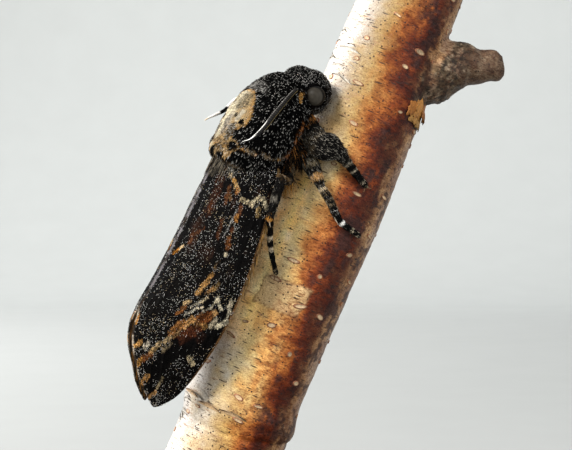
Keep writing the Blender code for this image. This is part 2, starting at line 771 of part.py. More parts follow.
def beside(line, distance):
    """The line moved sideways, in its own plane."""
    moved = []
    for i, point in enumerate(line):
        ahead = line[min(i + 1, len(line) - 1)] - line[max(i - 1, 0)]
        ahead /= np.linalg.norm(ahead)
        moved.append(point + distance * np.array((-ahead[1], ahead[0])))
    return moved


def distance_to_line(point, line):
    best = math.inf
    for start, end in zip(line, line[1:]):
        way = end - start
        share = min(max(float((point - start) @ way) / float(way @ way), 0.0), 1.0)
        best = min(best, float(np.linalg.norm(point - start - share * way)))
    return best


def inside(point, loop):
    x, y = point
    odd = False
    for (x1, y1), (x2, y2) in zip(loop, loop[1:] + loop[:1]):
        if (y1 > y) != (y2 > y) and x < (x2 - x1) * (y - y1) / (y2 - y1) + x1:
            odd = not odd
    return odd


def flat_wing(outline, veins):
    """Points and triangles of the flat wing, with the veins' crests and feet among its edges."""
    loop = flat_curve(outline, OUTLINE_STEP, closed=True)
    crests = [flat_curve(vein, VEIN_STEP) for vein in veins]
    points, edges = list(loop), [(i, (i + 1) % len(loop)) for i in range(len(loop))]
    for crest in crests:
        for line in (crest, beside(crest, VEIN_HALF_WIDTH), beside(crest, -VEIN_HALF_WIDTH)):
            first = len(points)
            points += line
            edges += [(first + i, first + i + 1) for i in range(len(line) - 1)]
    low, high = np.min(loop, axis=0), np.max(loop, axis=0)
    for x in np.arange(low[0] + GRID_STEP / 2, high[0], GRID_STEP):
        for y in np.arange(low[1] + GRID_STEP / 2, high[1], GRID_STEP):
            point = np.array((x, y))
            free = min(distance_to_line(point, crest) for crest in crests)
            if inside(point, loop) and free > 1.3 and distance_to_line(point, loop + loop[:1]) > 1.3:
                points.append(point)
    made = delaunay_2d_cdt([Vector(point) for point in points], edges, [], 1, 1e-4, False)
    flat = [np.array(point) for point in made[0]]
    triangles = [tuple(face) for face in made[2] if inside(sum(flat[i] for i in face) / 3, loop)]
    for i, (p, q, s) in enumerate(triangles):
        turn = np.cross(flat[q] - flat[p], flat[s] - flat[p])
        if turn < 0:
            triangles[i] = (p, s, q)
    return flat, triangles, crests


def make_wing(name, outline, veins, side, depth, thickness, material):
    """A curved membrane with raised veins, its upper and lower faces split alike."""
    flat, triangles, crests = flat_wing(outline, veins)
    upper, lower = [], []
    for point in flat:
        free = min(distance_to_line(point, crest) for crest in crests)
        rise = VEIN_HEIGHT * max(0.0, 1.0 - free / VEIN_HALF_WIDTH)
        surface, normal = roof_point(*point), roof_normal(*point)
        for sheet, offset in ((upper, rise - depth), (lower, -depth - thickness)):
            a, d, r = surface + normal * offset
            sheet.append(place(a, d, side * r))
    count = len(flat)
    faces = list(triangles) + [(count + p, count + s, count + q) for p, q, s in triangles]
    used = {}
    for p, q, s in triangles:
        for start, end in ((p, q), (q, s), (s, p)):
            used[(start, end)] = used.get((start, end), 0) + 1
    for start, end in used:
        if (end, start) not in used:
            faces.append((end, start, count + start))
            faces.append((end, count + start, count + end))
    wing = make_object(name, upper + lower, faces, material)
    face_outwards(wing)
    return wing


def main():
    clear_scene()
    wood = make_material("stand_wood", (0.03, 0.025, 0.022), 0.35)
    brass = make_material("stand_brass", (0.72, 0.53, 0.25), 0.3, 1.0)
    bark = make_material("bark", (0.42, 0.26, 0.15), 0.75)
    fur = make_material("fur", (0.035, 0.03, 0.028), 0.9)
    belly = make_material("abdomen", (0.55, 0.36, 0.1), 0.85)
    eye_skin = make_material("eye", (0.075, 0.06, 0.055), 0.55)
    horn = make_material("limb", (0.05, 0.04, 0.035), 0.7)
    fore_scales = make_material("forewing", (0.07, 0.05, 0.04), 0.8)
    hind_scales = make_material("hindwing", (0.6, 0.36, 0.08), 0.85)

    make_stand(wood, brass)
    make_branch(bark)

    thorax = make_thorax(fur)
    make_abdomen(belly)
    head = make_head(fur)
    cut_clear(thorax, head, fur)
    sides = (("right", RIGHT), ("left", LEFT))
    for word, side in sides:
        for piece in (make_palp(f"palp_{word}", side, fur), make_eye(f"eye_{word}", side, eye_skin)):
            cut_clear(thorax, piece, fur)
            cut_clear(head, piece, fur)
        centre = (*HOLLOW_CENTRE[:2], side * HOLLOW_CENTRE[2])
        hollow = round_shape("hollow", place_in_head, centre, (HOLLOW_RADIUS,) * 3, 14, 9)
        cut_clear(thorax, hollow, fur)
        bpy.data.objects.remove(hollow, do_unlink=True)
    cut_clear(head, make_proboscis(horn), fur)

    for word, side in sides:
        antenna = make_antenna(f"antenna_{word}", side, horn)
        cut_clear(thorax, antenna, fur)
        cut_clear(antenna, head, horn)
        legs = []
        for pair, plan in (("fore", FORE_LEG), ("middle", MIDDLE_LEG), ("hind", HIND_LEG)):
            leg = make_leg(f"leg_{pair}_{word}", plan, side, horn)
            cut_clear(leg, thorax, horn)
            for leg_in_front in legs:
                cut_clear(leg, leg_in_front, horn)
            legs.append(leg)
        forewing = make_wing(
            f"forewing_{word}", FOREWING_OUTLINE, FOREWING_VEINS, side, 0.0, FOREWING_THICKNESS, fore_scales
        )
        cut_clear(forewing, thorax, fore_scales, "MANIFOLD")
        hindwing = make_wing(
            f"hindwing_{word}",
            HINDWING_OUTLINE,
            HINDWING_VEINS,
            side,
            FOREWING_THICKNESS + VEIN_HEIGHT + WING_SPACING,
            HINDWING_THICKNESS,
            hind_scales,
        )
        cut_clear(hindwing, thorax, hind_scales, "MANIFOLD")


main()
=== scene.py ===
"""The deaths head hawkmoth on its cut branch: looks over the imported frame.

Lengths are in millimetres until a mesh is made. a, d and r are the moth's own
axes: towards its head, towards its back and towards its right side.
"""

import math

import bpy
import numpy as np
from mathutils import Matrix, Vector
from mathutils.bvhtree import BVHTree


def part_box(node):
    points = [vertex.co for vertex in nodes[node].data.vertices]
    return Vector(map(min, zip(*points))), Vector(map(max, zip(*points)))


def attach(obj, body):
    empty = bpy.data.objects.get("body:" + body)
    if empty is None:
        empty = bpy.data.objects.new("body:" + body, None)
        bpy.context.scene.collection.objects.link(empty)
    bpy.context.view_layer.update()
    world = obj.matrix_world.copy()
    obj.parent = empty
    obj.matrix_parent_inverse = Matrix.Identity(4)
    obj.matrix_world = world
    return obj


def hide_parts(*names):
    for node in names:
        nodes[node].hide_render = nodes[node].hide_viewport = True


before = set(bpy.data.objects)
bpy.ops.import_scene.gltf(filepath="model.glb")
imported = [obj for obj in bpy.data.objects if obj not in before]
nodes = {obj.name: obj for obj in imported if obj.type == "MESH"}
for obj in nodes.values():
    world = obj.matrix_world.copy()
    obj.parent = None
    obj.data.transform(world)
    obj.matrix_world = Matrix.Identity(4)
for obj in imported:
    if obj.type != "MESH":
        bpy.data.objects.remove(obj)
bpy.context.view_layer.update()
MM = 0.001
DICE = np.random.default_rng(11)
RIGHT, LEFT = 1, -1
SIDES = (("right", RIGHT), ("left", LEFT))

# The moth's frame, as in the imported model
LEAN, ROLL = math.radians(25.0), math.radians(35.0)
AXIS = np.array((math.sin(LEAN), 0.0, math.cos(LEAN)))
DORSAL = math.cos(ROLL) * np.array((-math.cos(LEAN), 0.0, math.sin(LEAN)))
DORSAL = DORSAL + math.sin(ROLL) * np.array((0.0, -1.0, 0.0))
SIDE = np.cross(AXIS, DORSAL)
ORIGIN = np.array((-5.1, -13.3, 91.8))

THORAX = (
    (-11.0, -2.0, 7.0, 7.6, 6.4), (-10.0, -1.4, 7.6, 8.9, 6.8), (-8.6, -0.8, 8.4, 9.1, 7.2),
    (-5.7, -0.2, 9.0, 8.2, 7.6), (-1.0, -0.5, 9.1, 8.2, 7.7), (3.0, -1.2, 8.7, 8.1, 7.2), (5.8, -2.2, 8.0, 8.0, 6.2),
    (8.5, -3.2, 7.0, 7.4, 5.0), (10.4, -4.2, 5.8, 6.5, 4.2), (11.4, -4.8, 4.8, 5.3, 3.2), (12.1, -5.4, 3.0, 3.2, 1.8),
)
TEGULA_CENTRE, TEGULA_RADII, TEGULA_TILT = (-1.2, -1.2, 6.9), (8.2, 3.7, 3.1), math.radians(-9.0)
ABDOMEN = (
    (-11.3, -2.6, 5.8, 5.2, 6.1), (-15.0, -2.6, 5.9, 5.2, 6.2), (-20.0, -2.6, 5.9, 5.2, 6.2),
    (-25.0, -2.6, 5.7, 5.1, 5.9), (-30.0, -2.7, 5.2, 4.8, 5.3), (-35.0, -2.9, 4.4, 4.1, 4.4),
    (-39.0, -3.2, 3.3, 3.0, 3.2), (-43.0, -3.5, 1.3, 1.2, 1.3),
)
HEAD_CENTRE, HEAD_BOW = (10.2, -6.0, 0.9), math.radians(63.0)
HEAD_LUMPS = (  # centre and radii in the head's frame: forward, up, right
    ((0.0, 0.0, 0.0), (5.4, 5.0, 5.6)), ((1.9, 1.3, 0.0), (2.7, 3.0, 3.4)), ((-1.2, 1.0, -0.5), (4.0, 4.6, 5.1)),
)
EYE_CENTRE, EYE_RADIUS = (-0.5, -0.1, 4.65), 2.15
PALP = ((1.0, -4.1, 1.55, 0.9), (2.35, -3.35, 1.55, 1.0), (3.0, -1.9, 1.32, 0.7))
ANTENNAE = {
    RIGHT: (
        (10.9, -3.6, 2.7, 0.45), (10.0, -2.1, 4.1, 0.46), (8.4, 0.4, 6.6, 0.5), (4.5, 2.7, 8.2, 0.58),
        (1.8, 3.8, 8.6, 0.62), (-0.9, 4.5, 8.65, 0.62), (-3.4, 5.7, 8.7, 0.45), (-4.6, 6.5, 8.6, 0.28),
        (-5.5, 7.5, 8.2, 0.16),
    ),
    LEFT: (
        (10.9, -3.4, 2.5, 0.45), (10.1, -2.1, 4.0, 0.46), (8.5, 0.2, 6.2, 0.5), (4.7, 1.8, 7.8, 0.58),
        (2.0, 3.6, 8.1, 0.62), (-0.5, 4.7, 8.05, 0.62), (-2.6, 6.6, 8.1, 0.45), (-3.6, 7.6, 8.0, 0.28),
        (-4.3, 8.3, 7.7, 0.16),
    ),
}
LEGS = {
    "fore": {
        "coxa": ((5.4, -6.0, 4.4, 1.7), (3.6, -8.0, 5.8, 1.9)),
        "femur": ((2.9, -8.2, 6.1, 2.3), (1.2, -9.5, 8.5, 2.85), (1.3, -11.1, 10.6, 2.9), (1.2, -13.0, 11.4, 1.8)),
        "tibia": ((1.2, -13.2, 11.3, 1.6), (0.4, -15.2, 11.5, 1.05)),
        "tarsus": (
            (0.5, -15.0, 11.4, 0.95), (-0.4, -16.9, 12.2, 0.85), (-1.5, -19.0, 13.0, 0.7), (-2.6, -21.5, 13.7, 0.5),
        ),
        "claws": ((-2.4, -23.4, 13.4), (-4.1, -21.9, 13.4)),
        "spurs": (),
    },
    "middle": {
        "coxa": ((-0.6, -6.0, 4.2, 1.7), (-2.0, -8.9, 5.8, 1.8)),
        "femur": ((-2.0, -9.2, 6.0, 1.9), (-4.4, -11.2, 8.7, 1.7), (-7.0, -13.4, 10.8, 0.8)),
        "tibia": ((-7.0, -13.4, 10.8, 0.8), (-8.6, -15.6, 12.0, 0.85), (-10.3, -17.4, 12.8, 0.8)),
        "tarsus": (
            (-10.3, -17.4, 12.8, 0.7), (-11.8, -19.7, 13.6, 0.6), (-12.3, -22.5, 14.1, 0.5),
            (-12.7, -25.2, 14.0, 0.42),
        ),
        "claws": ((-13.3, -26.3, 13.4), (-14.0, -25.5, 13.5)),
        "spurs": (((-10.2, -17.4, 12.9), (-12.4, -18.9, 14.0)),),
    },
    "hind": {
        "coxa": ((-6.0, -5.6, 4.0, 1.6), (-7.6, -7.4, 5.6, 1.3)),
        "femur": ((-7.6, -7.4, 5.6, 1.2), (-8.3, -6.3, 8.6, 1.1), (-8.8, -4.4, 10.8, 1.0), (-8.9, -2.9, 11.2, 0.9)),
        "tibia": ((-8.9, -2.9, 11.2, 0.95), (-13.2, -3.4, 11.5, 0.9), (-17.0, -4.1, 11.5, 0.8)),
        "tarsus": (
            (-17.0, -4.1, 11.5, 0.65), (-20.9, -8.2, 8.6, 0.55), (-23.8, -10.8, 7.9, 0.45), (-27.4, -13.4, 9.0, 0.4),
        ),
        "claws": ((-29.1, -13.9, 8.7), (-28.0, -14.6, 9.6)),
        "spurs": (((-13.4, -3.5, 11.6), (-15.4, -4.6, 12.5)), ((-16.8, -4.2, 11.5), (-18.9, -5.0, 11.9))),
    },
}
ROOF = (
    (1.0, 6.6, 7.6, -0.8, 3.0), (-3.3, 6.8, 8.2, -1.7, 3.1), (-10.2, 7.0, 9.6, -3.1, 3.2),
    (-18.0, 7.0, 10.4, -4.3, 2.9), (-25.8, 7.1, 10.8, -5.3, 2.9), (-38.7, 7.6, 10.7, -6.3, 2.0),
    (-46.0, 8.3, 9.8, -6.5, 1.6), (-49.9, 8.1, 8.6, -6.7, 1.6), (-52.5, 7.2, 7.7, -6.8, 1.6),
    (-55.0, 5.5, 6.9, -6.8, 1.6), (-57.0, 3.9, 6.1, -6.7, 1.6), (-59.5, 2.1, 5.0, -6.5, 1.6),
    (-61.5, 0.5, 4.0, -5.8, 1.6), (-63.6, -1.5, 2.6, -4.6, 1.6),
)
FOREWING_EDGE = (
    (1.2, 15.2), (1.0, 18.0), (3.0, 19.5), (10.0, 19.95), (22.0, 20.2), (36.0, 20.25), (48.0, 20.2), (56.0, 20.05),
    (60.0, 19.9), (63.0, 19.4), (64.2, 18.0), (64.4, 14.5), (63.6, 10.0), (62.2, 6.2), (60.0, 3.7), (57.0, 2.5),
    (53.0, 1.9), (48.6, 0.9), (45.6, 0.1), (36.0, -0.08), (24.0, -0.1), (14.0, 0.05), (9.6, 1.2), (5.0, 8.0),
)
FOREWING_VEINS = (
    ((2.6, 17.6), (18.0, 18.9), (33.0, 19.5)), ((2.8, 16.5), (14.0, 17.3), (28.0, 17.0), (44.0, 18.9), (51.0, 19.5)),
    ((28.0, 17.0), (42.0, 17.6), (58.0, 19.4)), ((28.6, 16.2), (44.0, 16.8), (63.2, 18.6)),
    ((28.9, 15.0), (46.0, 14.6), (63.6, 16.0)), ((28.7, 13.4), (46.0, 12.0), (63.2, 12.8)),
    ((27.4, 11.4), (44.0, 9.2), (62.2, 9.2)), ((24.0, 11.6), (40.0, 7.4), (60.4, 6.0)),
    ((17.0, 12.3), (34.0, 6.2), (56.4, 3.8)), ((2.8, 15.6), (10.0, 13.3), (17.0, 12.3), (24.0, 11.6), (27.4, 11.4)),
    ((3.6, 14.4), (12.0, 7.6), (28.0, 3.4), (50.6, 2.2)), ((28.0, 17.0), (28.9, 15.0), (28.7, 13.4), (27.4, 11.4)),
)
HINDWING_EDGE = (
    (3.2, 14.8), (3.4, 19.2), (8.0, 20.2), (16.0, 20.8), (26.0, 20.9), (34.0, 19.9), (38.6, 17.8), (39.4, 15.6),
    (37.8, 11.6), (34.4, 7.4), (30.0, 3.8), (26.0, 2.0), (18.0, 2.0), (12.0, 3.6), (7.0, 9.0),
)
HINDWING_VEINS = (
    ((4.6, 18.2), (16.0, 19.8), (33.0, 19.2)), ((4.6, 17.4), (15.0, 17.8), (27.0, 17.7), (37.8, 17.0)),
    ((15.0, 17.8), (27.0, 15.6), (38.4, 14.9)), ((14.6, 15.2), (26.0, 13.0), (36.9, 11.6)),
    ((14.0, 14.0), (24.0, 10.6), (34.2, 8.4)), ((4.8, 16.0), (14.0, 14.0), (22.0, 8.2), (30.0, 5.0)),
    ((5.2, 14.6), (14.0, 8.6), (24.6, 3.4)),
)
BRANCH_FOOT, BRANCH_LEAN, BRANCH_LENGTH = np.array((-14.7, 0.0, 18.0)), math.radians(22.4), 116.3
BRANCH_UP = np.array((math.sin(BRANCH_LEAN), 0.0, math.cos(BRANCH_LEAN)))
BRANCH_ACROSS = np.array((math.cos(BRANCH_LEAN), 0.0, -math.sin(BRANCH_LEAN)))
BACKWARD = np.array((0.0, 1.0, 0.0))
BRANCH = (
    (-6.0, 12.2, 0.0), (4.0, 12.1, 0.0), (9.5, 12.2, -0.1), (13.0, 13.0, -0.4), (16.5, 12.6, -0.7),
    (26.0, 12.5, -0.7), (45.0, 12.5, -0.2), (62.0, 12.5, 0.1), (76.0, 12.1, 0.2), (90.0, 11.7, 0.3),
    (103.0, 11.1, 0.0), (116.3, 10.7, 0.0),
)
STUB = (
    (2.0, 93.4, 6.6), (9.1, 95.9, 6.8), (11.8, 98.2, 6.4), (13.9, 99.8, 5.8), (16.4, 101.4, 4.85), (19.4, 102.0, 3.9),
    (21.5, 103.2, 3.55), (23.1, 103.9, 3.3), (24.1, 104.5, 2.1),
)


# Small mathematics


def spline(rows):
    """A smooth curve through rows whose first number is the parameter, for arrays of it."""
    rows = np.array(rows, float)
    rows = rows[np.argsort(rows[:, 0])]
    at, values = rows[:, 0], rows[:, 1:]
    slopes = np.gradient(values, at, axis=0)

    def value(x):
        x = np.clip(np.asarray(x, float), at[0], at[-1])
        i = np.clip(np.searchsorted(at, x) - 1, 0, len(at) - 2)
        step = (at[i + 1] - at[i])[..., None]
        t = (x - at[i])[..., None] / step
        return (
            (2 * t**3 - 3 * t**2 + 1) * values[i]
            + (t**3 - 2 * t**2 + t) * step * slopes[i]
            + (-2 * t**3 + 3 * t**2) * values[i + 1]
            + (t**3 - t**2) * step * slopes[i + 1]
        )

    return value


def through(points, count):
    """Evenly spread points on a smooth curve through the given ones."""
    points = np.array(points, float)
    lengths = np.concatenate([[0.0], np.cumsum(np.linalg.norm(np.diff(points[:, :3], axis=0), axis=1))])
    return spline(np.column_stack([lengths, points]))(np.linspace(0.0, lengths[-1], count))


def unit(v):
    return v / np.maximum(np.linalg.norm(v, axis=-1, keepdims=True), 1e-12)


def place(a, d, r):
    a, d, r = (np.asarray(x, float)[..., None] for x in (a, d, r))
    return ORIGIN + a * AXIS + d * DORSAL + r * SIDE


def on_side(point, side):
    """A place on the moth's right, or the same place on its left."""
    return (*point[:2], side * point[2])


def moth(points):
    offset = points - ORIGIN
    return offset @ AXIS, offset @ DORSAL, offset @ SIDE


def place_in_head(f, u, r):
    f, u, r = (np.asarray(x, float) for x in (f, u, r))
    a = HEAD_CENTRE[0] + f * math.cos(HEAD_BOW) + u * math.sin(HEAD_BOW)
    d = HEAD_CENTRE[1] - f * math.sin(HEAD_BOW) + u * math.cos(HEAD_BOW)
    return place(a, d, HEAD_CENTRE[2] + r)


def head_frame(points):
    a, d, r = moth(points)
    return *turned(a - HEAD_CENTRE[0], d - HEAD_CENTRE[1], HEAD_BOW), r - HEAD_CENTRE[2]


def noise(points, size, seed=0):
    """Smooth value noise from 0 to 1, of the given cell size, for points of two or three numbers."""
    points = np.asarray(points, float)
    if points.shape[-1] == 2:
        points = np.concatenate([points, np.full((*points.shape[:-1], 1), 0.37)], axis=-1)
    q = points / size + seed * 17.31
    cell = np.floor(q).astype(np.int64)
    t = q - cell
    t = t * t * (3 - 2 * t)
    total = np.zeros(q.shape[:-1])
    for i in (0, 1):
        for j in (0, 1):
            for k in (0, 1):
                x, y, z = cell[..., 0] + i, cell[..., 1] + j, cell[..., 2] + k
                h = (x * 73856093) ^ (y * 19349663) ^ (z * 83492791) ^ (seed * 2654435761)
                h = (h ^ (h >> 13)) * 1274126177
                h = ((h ^ (h >> 16)) & 0xFFFFFF) / float(0xFFFFFF)
                share = (t[..., 0] if i else 1 - t[..., 0]) * (t[..., 1] if j else 1 - t[..., 1])
                total += h * share * (t[..., 2] if k else 1 - t[..., 2])
    return total


def soft(value, low, high):
    """0 below low, 1 above high, smooth between."""
    t = np.clip((value - low) / (high - low), 0, 1)
    return t * t * (3 - 2 * t)


def plateau(value, a, b, c, d):
    """0 below a, 1 from b to c, 0 above d, smooth between."""
    return soft(value, a, b) * (1 - soft(value, c, d))


def blend(base, colour, share):
    return base + (np.array(colour) - base) * share[..., None]


def plain(colour, like):
    """One colour for each value of an array."""
    return np.tile(np.array(colour), (*np.shape(like), 1))


def ripple(points, size, seed=0):
    """The same noise, from -0.5 to 0.5."""
    return noise(points, size, seed) - 0.5


def noise_over(x, y, size, seed=0):
    return noise(np.stack([x, y], -1), size, seed)


def joined(groups):
    """The columns of several groups of arrays, each as one array."""
    return [np.concatenate(column) for column in zip(*groups)]


def level_with(vectors, normals):
    """Unit vectors along a surface, from vectors that may stand off it."""
    return unit(vectors - normals * (vectors * normals).sum(1, keepdims=True))


def turned(x, y, angle):
    return x * math.cos(angle) - y * math.sin(angle), x * math.sin(angle) + y * math.cos(angle)


def around(sides):
    return 2 * np.pi * np.arange(sides) / sides


def circle(side, other, angle):
    """Directions round each place of a line, from two that cross it."""
    return side[:, None] * np.cos(angle)[None, :, None] + other[:, None] * np.sin(angle)[None, :, None]


def to_segment(x, y, x0, y0, x1, y1):
    dx, dy = x1 - x0, y1 - y0
    t = np.clip(((x - x0) * dx + (y - y0) * dy) / max(dx * dx + dy * dy, 1e-9), 0, 1)
    return np.hypot(x - x0 - t * dx, y - y0 - t * dy)


# Making meshes


def piece(name, points, faces, material, slot, colours=None, uv=None, extra=None):
    """A mesh object from arrays: points in millimetres, faces all of one length or a list of such arrays."""
    faces = faces if isinstance(faces, list) else [faces]
    mesh = bpy.data.meshes.new(name)
    mesh.vertices.add(len(points))
    mesh.vertices.foreach_set("co", (np.asarray(points, np.float32) * MM).ravel())
    corners = np.concatenate([np.asarray(f, np.int32).ravel() for f in faces])
    totals = np.concatenate([np.full(len(f), np.shape(f)[1], np.int32) for f in faces])
    mesh.loops.add(len(corners))
    mesh.loops.foreach_set("vertex_index", corners)
    mesh.polygons.add(len(totals))
    mesh.polygons.foreach_set("loop_start", np.concatenate([[0], np.cumsum(totals)[:-1]]).astype(np.int32))
    mesh.polygons.foreach_set("loop_total", totals)
    mesh.polygons.foreach_set("use_smooth", np.ones(len(totals), bool))
    mesh.update(calc_edges=True)
    dress(mesh, material, colours, extra)
    if uv is not None:
        layer = mesh.uv_layers.new(name="OFBake")
        layer.data.foreach_set("uv", np.asarray(uv, np.float32)[corners].ravel())
    thing = bpy.data.objects.new(name, mesh)
    bpy.context.scene.collection.objects.link(thing)
    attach(thing, "root")
    return thing


def dress(mesh, material, colours=None, extra=None):
    mesh.materials.clear()
    mesh.materials.append(material)
    if colours is not None:
        layer = mesh.color_attributes.new("markings", "FLOAT_COLOR", "POINT")
        rgba = np.concatenate([np.clip(colours, 0, 1), np.ones((len(colours), 1))], axis=1)
        layer.data.foreach_set("color", rgba.astype(np.float32).ravel())
    for key, values in (extra or {}).items():
        kind = "FLOAT_VECTOR" if values.ndim == 2 else "FLOAT"
        field = "vector" if values.ndim == 2 else "value"
        mesh.attributes.new(key, kind, "POINT").data.foreach_set(field, values.astype(np.float32).ravel())


def grid(u, v):
    return np.meshgrid(u, v, indexing="ij")


def grid_quads(rows, columns):
    i, j = grid(np.arange(rows - 1), np.arange(columns - 1))
    first = (i * columns + j).ravel()
    return np.column_stack([first, first + columns, first + columns + 1, first + 1])


def loft(rings):
    """Points and faces of a closed skin over rings of equal length."""
    rings = np.asarray(rings)
    count, sides = rings.shape[:2]
    points = [rings.reshape(-1, 3), rings[0].mean(0)[None], rings[-1].mean(0)[None]]
    i, j = grid(np.arange(count - 1), np.arange(sides))
    k = (j + 1) % sides
    quads = np.stack([i * sides + j, i * sides + k, (i + 1) * sides + k, (i + 1) * sides + j], -1).reshape(-1, 4)
    j = np.arange(sides)
    k = (j + 1) % sides
    last = (count - 1) * sides
    fans = np.concatenate(
        [
            np.stack([k, j, np.full(sides, count * sides)], 1),
            np.stack([last + j, last + k, np.full(sides, count * sides + 1)], 1),
        ]
    )
    points = np.concatenate(points)
    a, b, c = points[quads[:, 0]], points[quads[:, 1]], points[quads[:, 2]]
    if (np.cross(b - a, c - a) * (a - points.mean(0))).sum() < 0:
        quads, fans = quads[:, ::-1], fans[:, ::-1]
    return points, [quads, fans]


def combine(parts):
    """Several (points, [quads, fans]) as one."""
    points, quads, fans, base = [], [], [], 0
    for p, (q, f) in parts:
        points.append(p)
        quads.append(q + base)
        fans.append(f + base)
        base += len(p)
    return np.concatenate(points), [np.concatenate(quads), np.concatenate(fans)]


def oval(to_world, centre, radii, polar, angle, tilt):
    x = radii[0] * np.cos(polar)
    y = radii[1] * np.sin(polar) * np.sin(angle)
    z = radii[2] * np.sin(polar) * np.cos(angle)
    x, y = turned(x, y, tilt)
    return to_world(centre[0] + x, centre[1] + y, centre[2] + z)


def ellipsoid(to_world, centre, radii, columns=40, rows=26, tilt=0.0):
    polar = np.pi * (np.arange(rows) + 0.5) / rows
    return loft(oval(to_world, centre, radii, polar[:, None], around(columns)[None], tilt))


ROUND_END = ((0.75, 0.45), (0.35, 0.8))


def tube_frames(path, count, swell=None):
    """Centres, radii and two cross directions along a round-ended tube."""
    rows = through(path, count)
    centres, radii = rows[:, :3], rows[:, 3].copy()
    if swell is not None:
        radii *= swell(np.linspace(0, 1, count))
    first, last = unit(centres[1] - centres[0]), unit(centres[-1] - centres[-2])
    head = [(centres[0] - first * radii[0] * inset, radii[0] * share) for inset, share in ROUND_END]
    tail = [(centres[-1] + last * radii[-1] * inset, radii[-1] * share) for inset, share in reversed(ROUND_END)]
    centres = np.array([c for c, _ in head] + list(centres) + [c for c, _ in tail])
    radii = np.array([r for _, r in head] + list(radii) + [r for _, r in tail])
    ahead = unit(np.gradient(centres, axis=0))
    side = np.zeros_like(centres)
    current = unit(np.cross(first, DORSAL + 0.01))
    for i, direction in enumerate(ahead):
        current = unit(current - direction * current.dot(direction))
        side[i] = current
    return centres, radii, side, np.cross(ahead, side), ahead


def tube(path, sides, count, swell=None):
    centres, radii, side, other, _ = tube_frames(path, count, swell)
    return loft(centres[:, None] + radii[:, None, None] * circle(side, other, around(sides)))


def remeshed(name, parts, size, smooth=0):
    """One closed skin over overlapping closed shapes."""
    points, faces = combine(parts)
    thing = piece(name, points, faces, bpy.data.materials.new(name), None)
    modifier = thing.modifiers.new("fuse", "REMESH")
    modifier.mode, modifier.voxel_size, modifier.adaptivity = "VOXEL", size * MM, 0.0
    if smooth:
        even = thing.modifiers.new("even", "SMOOTH")
        even.iterations, even.factor = smooth, 0.5
    bpy.context.view_layer.update()
    mesh = bpy.data.meshes.new_from_object(thing.evaluated_get(bpy.context.evaluated_depsgraph_get()))
    old = thing.data
    thing.modifiers.clear()
    thing.data = mesh
    mesh.name = name
    bpy.data.meshes.remove(old)
    mesh.polygons.foreach_set("use_smooth", np.ones(len(mesh.polygons), bool))
    return thing


def mesh_points(thing):
    points = np.zeros(len(thing.data.vertices) * 3, np.float32)
    normals = np.zeros_like(points)
    thing.data.vertices.foreach_get("co", points)
    thing.data.vertices.foreach_get("normal", normals)
    return points.reshape(-1, 3).astype(float) / MM, normals.reshape(-1, 3).astype(float)


def move_points(thing, points):
    thing.data.vertices.foreach_set("co", (np.asarray(points) * MM).astype(np.float32).ravel())
    thing.data.update()


# Materials


class Nodes:
    """Short names for a material's nodes."""

    def __init__(self, name):
        self.material = bpy.data.materials.new(name)
        self.material.use_nodes = True
        self.tree = self.material.node_tree
        self.shader = self.tree.nodes["Principled BSDF"]

    def feed(self, socket, value):
        if isinstance(value, bpy.types.NodeSocket):
            self.tree.links.new(value, socket)
        else:
            socket.default_value = value

    def add(self, kind, **settings):
        node = self.tree.nodes.new(kind)
        inputs = settings.pop("inputs", {})
        for key, value in settings.items():
            setattr(node, key, value)
        for key, value in inputs.items():
            self.feed(node.inputs[key], value)
        return node

    def attribute(self, name, output="Color"):
        return self.add("ShaderNodeAttribute", attribute_name=name).outputs[output]

    def place(self):
        return self.add("ShaderNodeTexCoord").outputs["Object"]

    def stretched(self, vector, stretch):
        if not stretch:
            return vector
        return self.add("ShaderNodeMapping", inputs={"Vector": vector, "Scale": stretch}).outputs[0]

    def noise(self, vector, scale, detail=3.0, rough=0.55, stretch=None, distortion=0.0):
        inputs = {"Vector": self.stretched(vector, stretch), "Scale": scale, "Detail": detail}
        inputs |= {"Roughness": rough, "Distortion": distortion}
        return self.add("ShaderNodeTexNoise", inputs=inputs).outputs["Fac"]

    def cells(self, vector, scale, stretch=None, random=1.0):
        inputs = {"Vector": self.stretched(vector, stretch), "Scale": scale, "Randomness": random}
        return self.add("ShaderNodeTexVoronoi", inputs=inputs)

    def ramp(self, value, *stops):
        """A ramp through places and their greys or colours."""
        node = self.add("ShaderNodeValToRGB", inputs={"Fac": value})
        points = node.color_ramp.elements
        for i, (at, colour) in enumerate(stops):
            point = points[i] if i < 2 else points.new(at)
            point.position = at
            colour = (colour,) * 3 if isinstance(colour, (int, float)) else colour
            point.color = (*colour, 1.0)
        return node.outputs["Color"]

    def mix(self, share, a, b, mode="MIX"):
        node = self.add("ShaderNodeMix", data_type="RGBA", blend_type=mode)
        for key, value in ((0, share), (6, a), (7, b)):
            self.feed(node.inputs[key], (*value, 1.0) if isinstance(value, tuple) else value)
        return node.outputs[2]

    def times(self, a, b, share=1.0):
        return self.mix(share, a, b, "MULTIPLY")

    def marked(self, *layers):
        """The piece's own markings, times each ramp in turn."""
        colour = self.attribute("markings")
        for value, *stops in layers:
            colour = self.times(colour, self.ramp(value, *stops))
        return colour

    def math(self, operation, a, b):
        node = self.add("ShaderNodeMath", operation=operation)
        for i, value in enumerate((a, b)):
            self.feed(node.inputs[i], value)
        return node.outputs[0]

    def product(self, a, b):
        return self.math("MULTIPLY", a, b)

    def bump(self, height, strength, distance, under=None):
        inputs = {"Height": height, "Strength": strength, "Distance": distance}
        if under is not None:
            inputs["Normal"] = under
        return self.add("ShaderNodeBump", inputs=inputs).outputs[0]

    def set(self, **sockets):
        for key, value in sockets.items():
            self.feed(self.shader.inputs[key.replace("_", " ")], value)
        return self.material


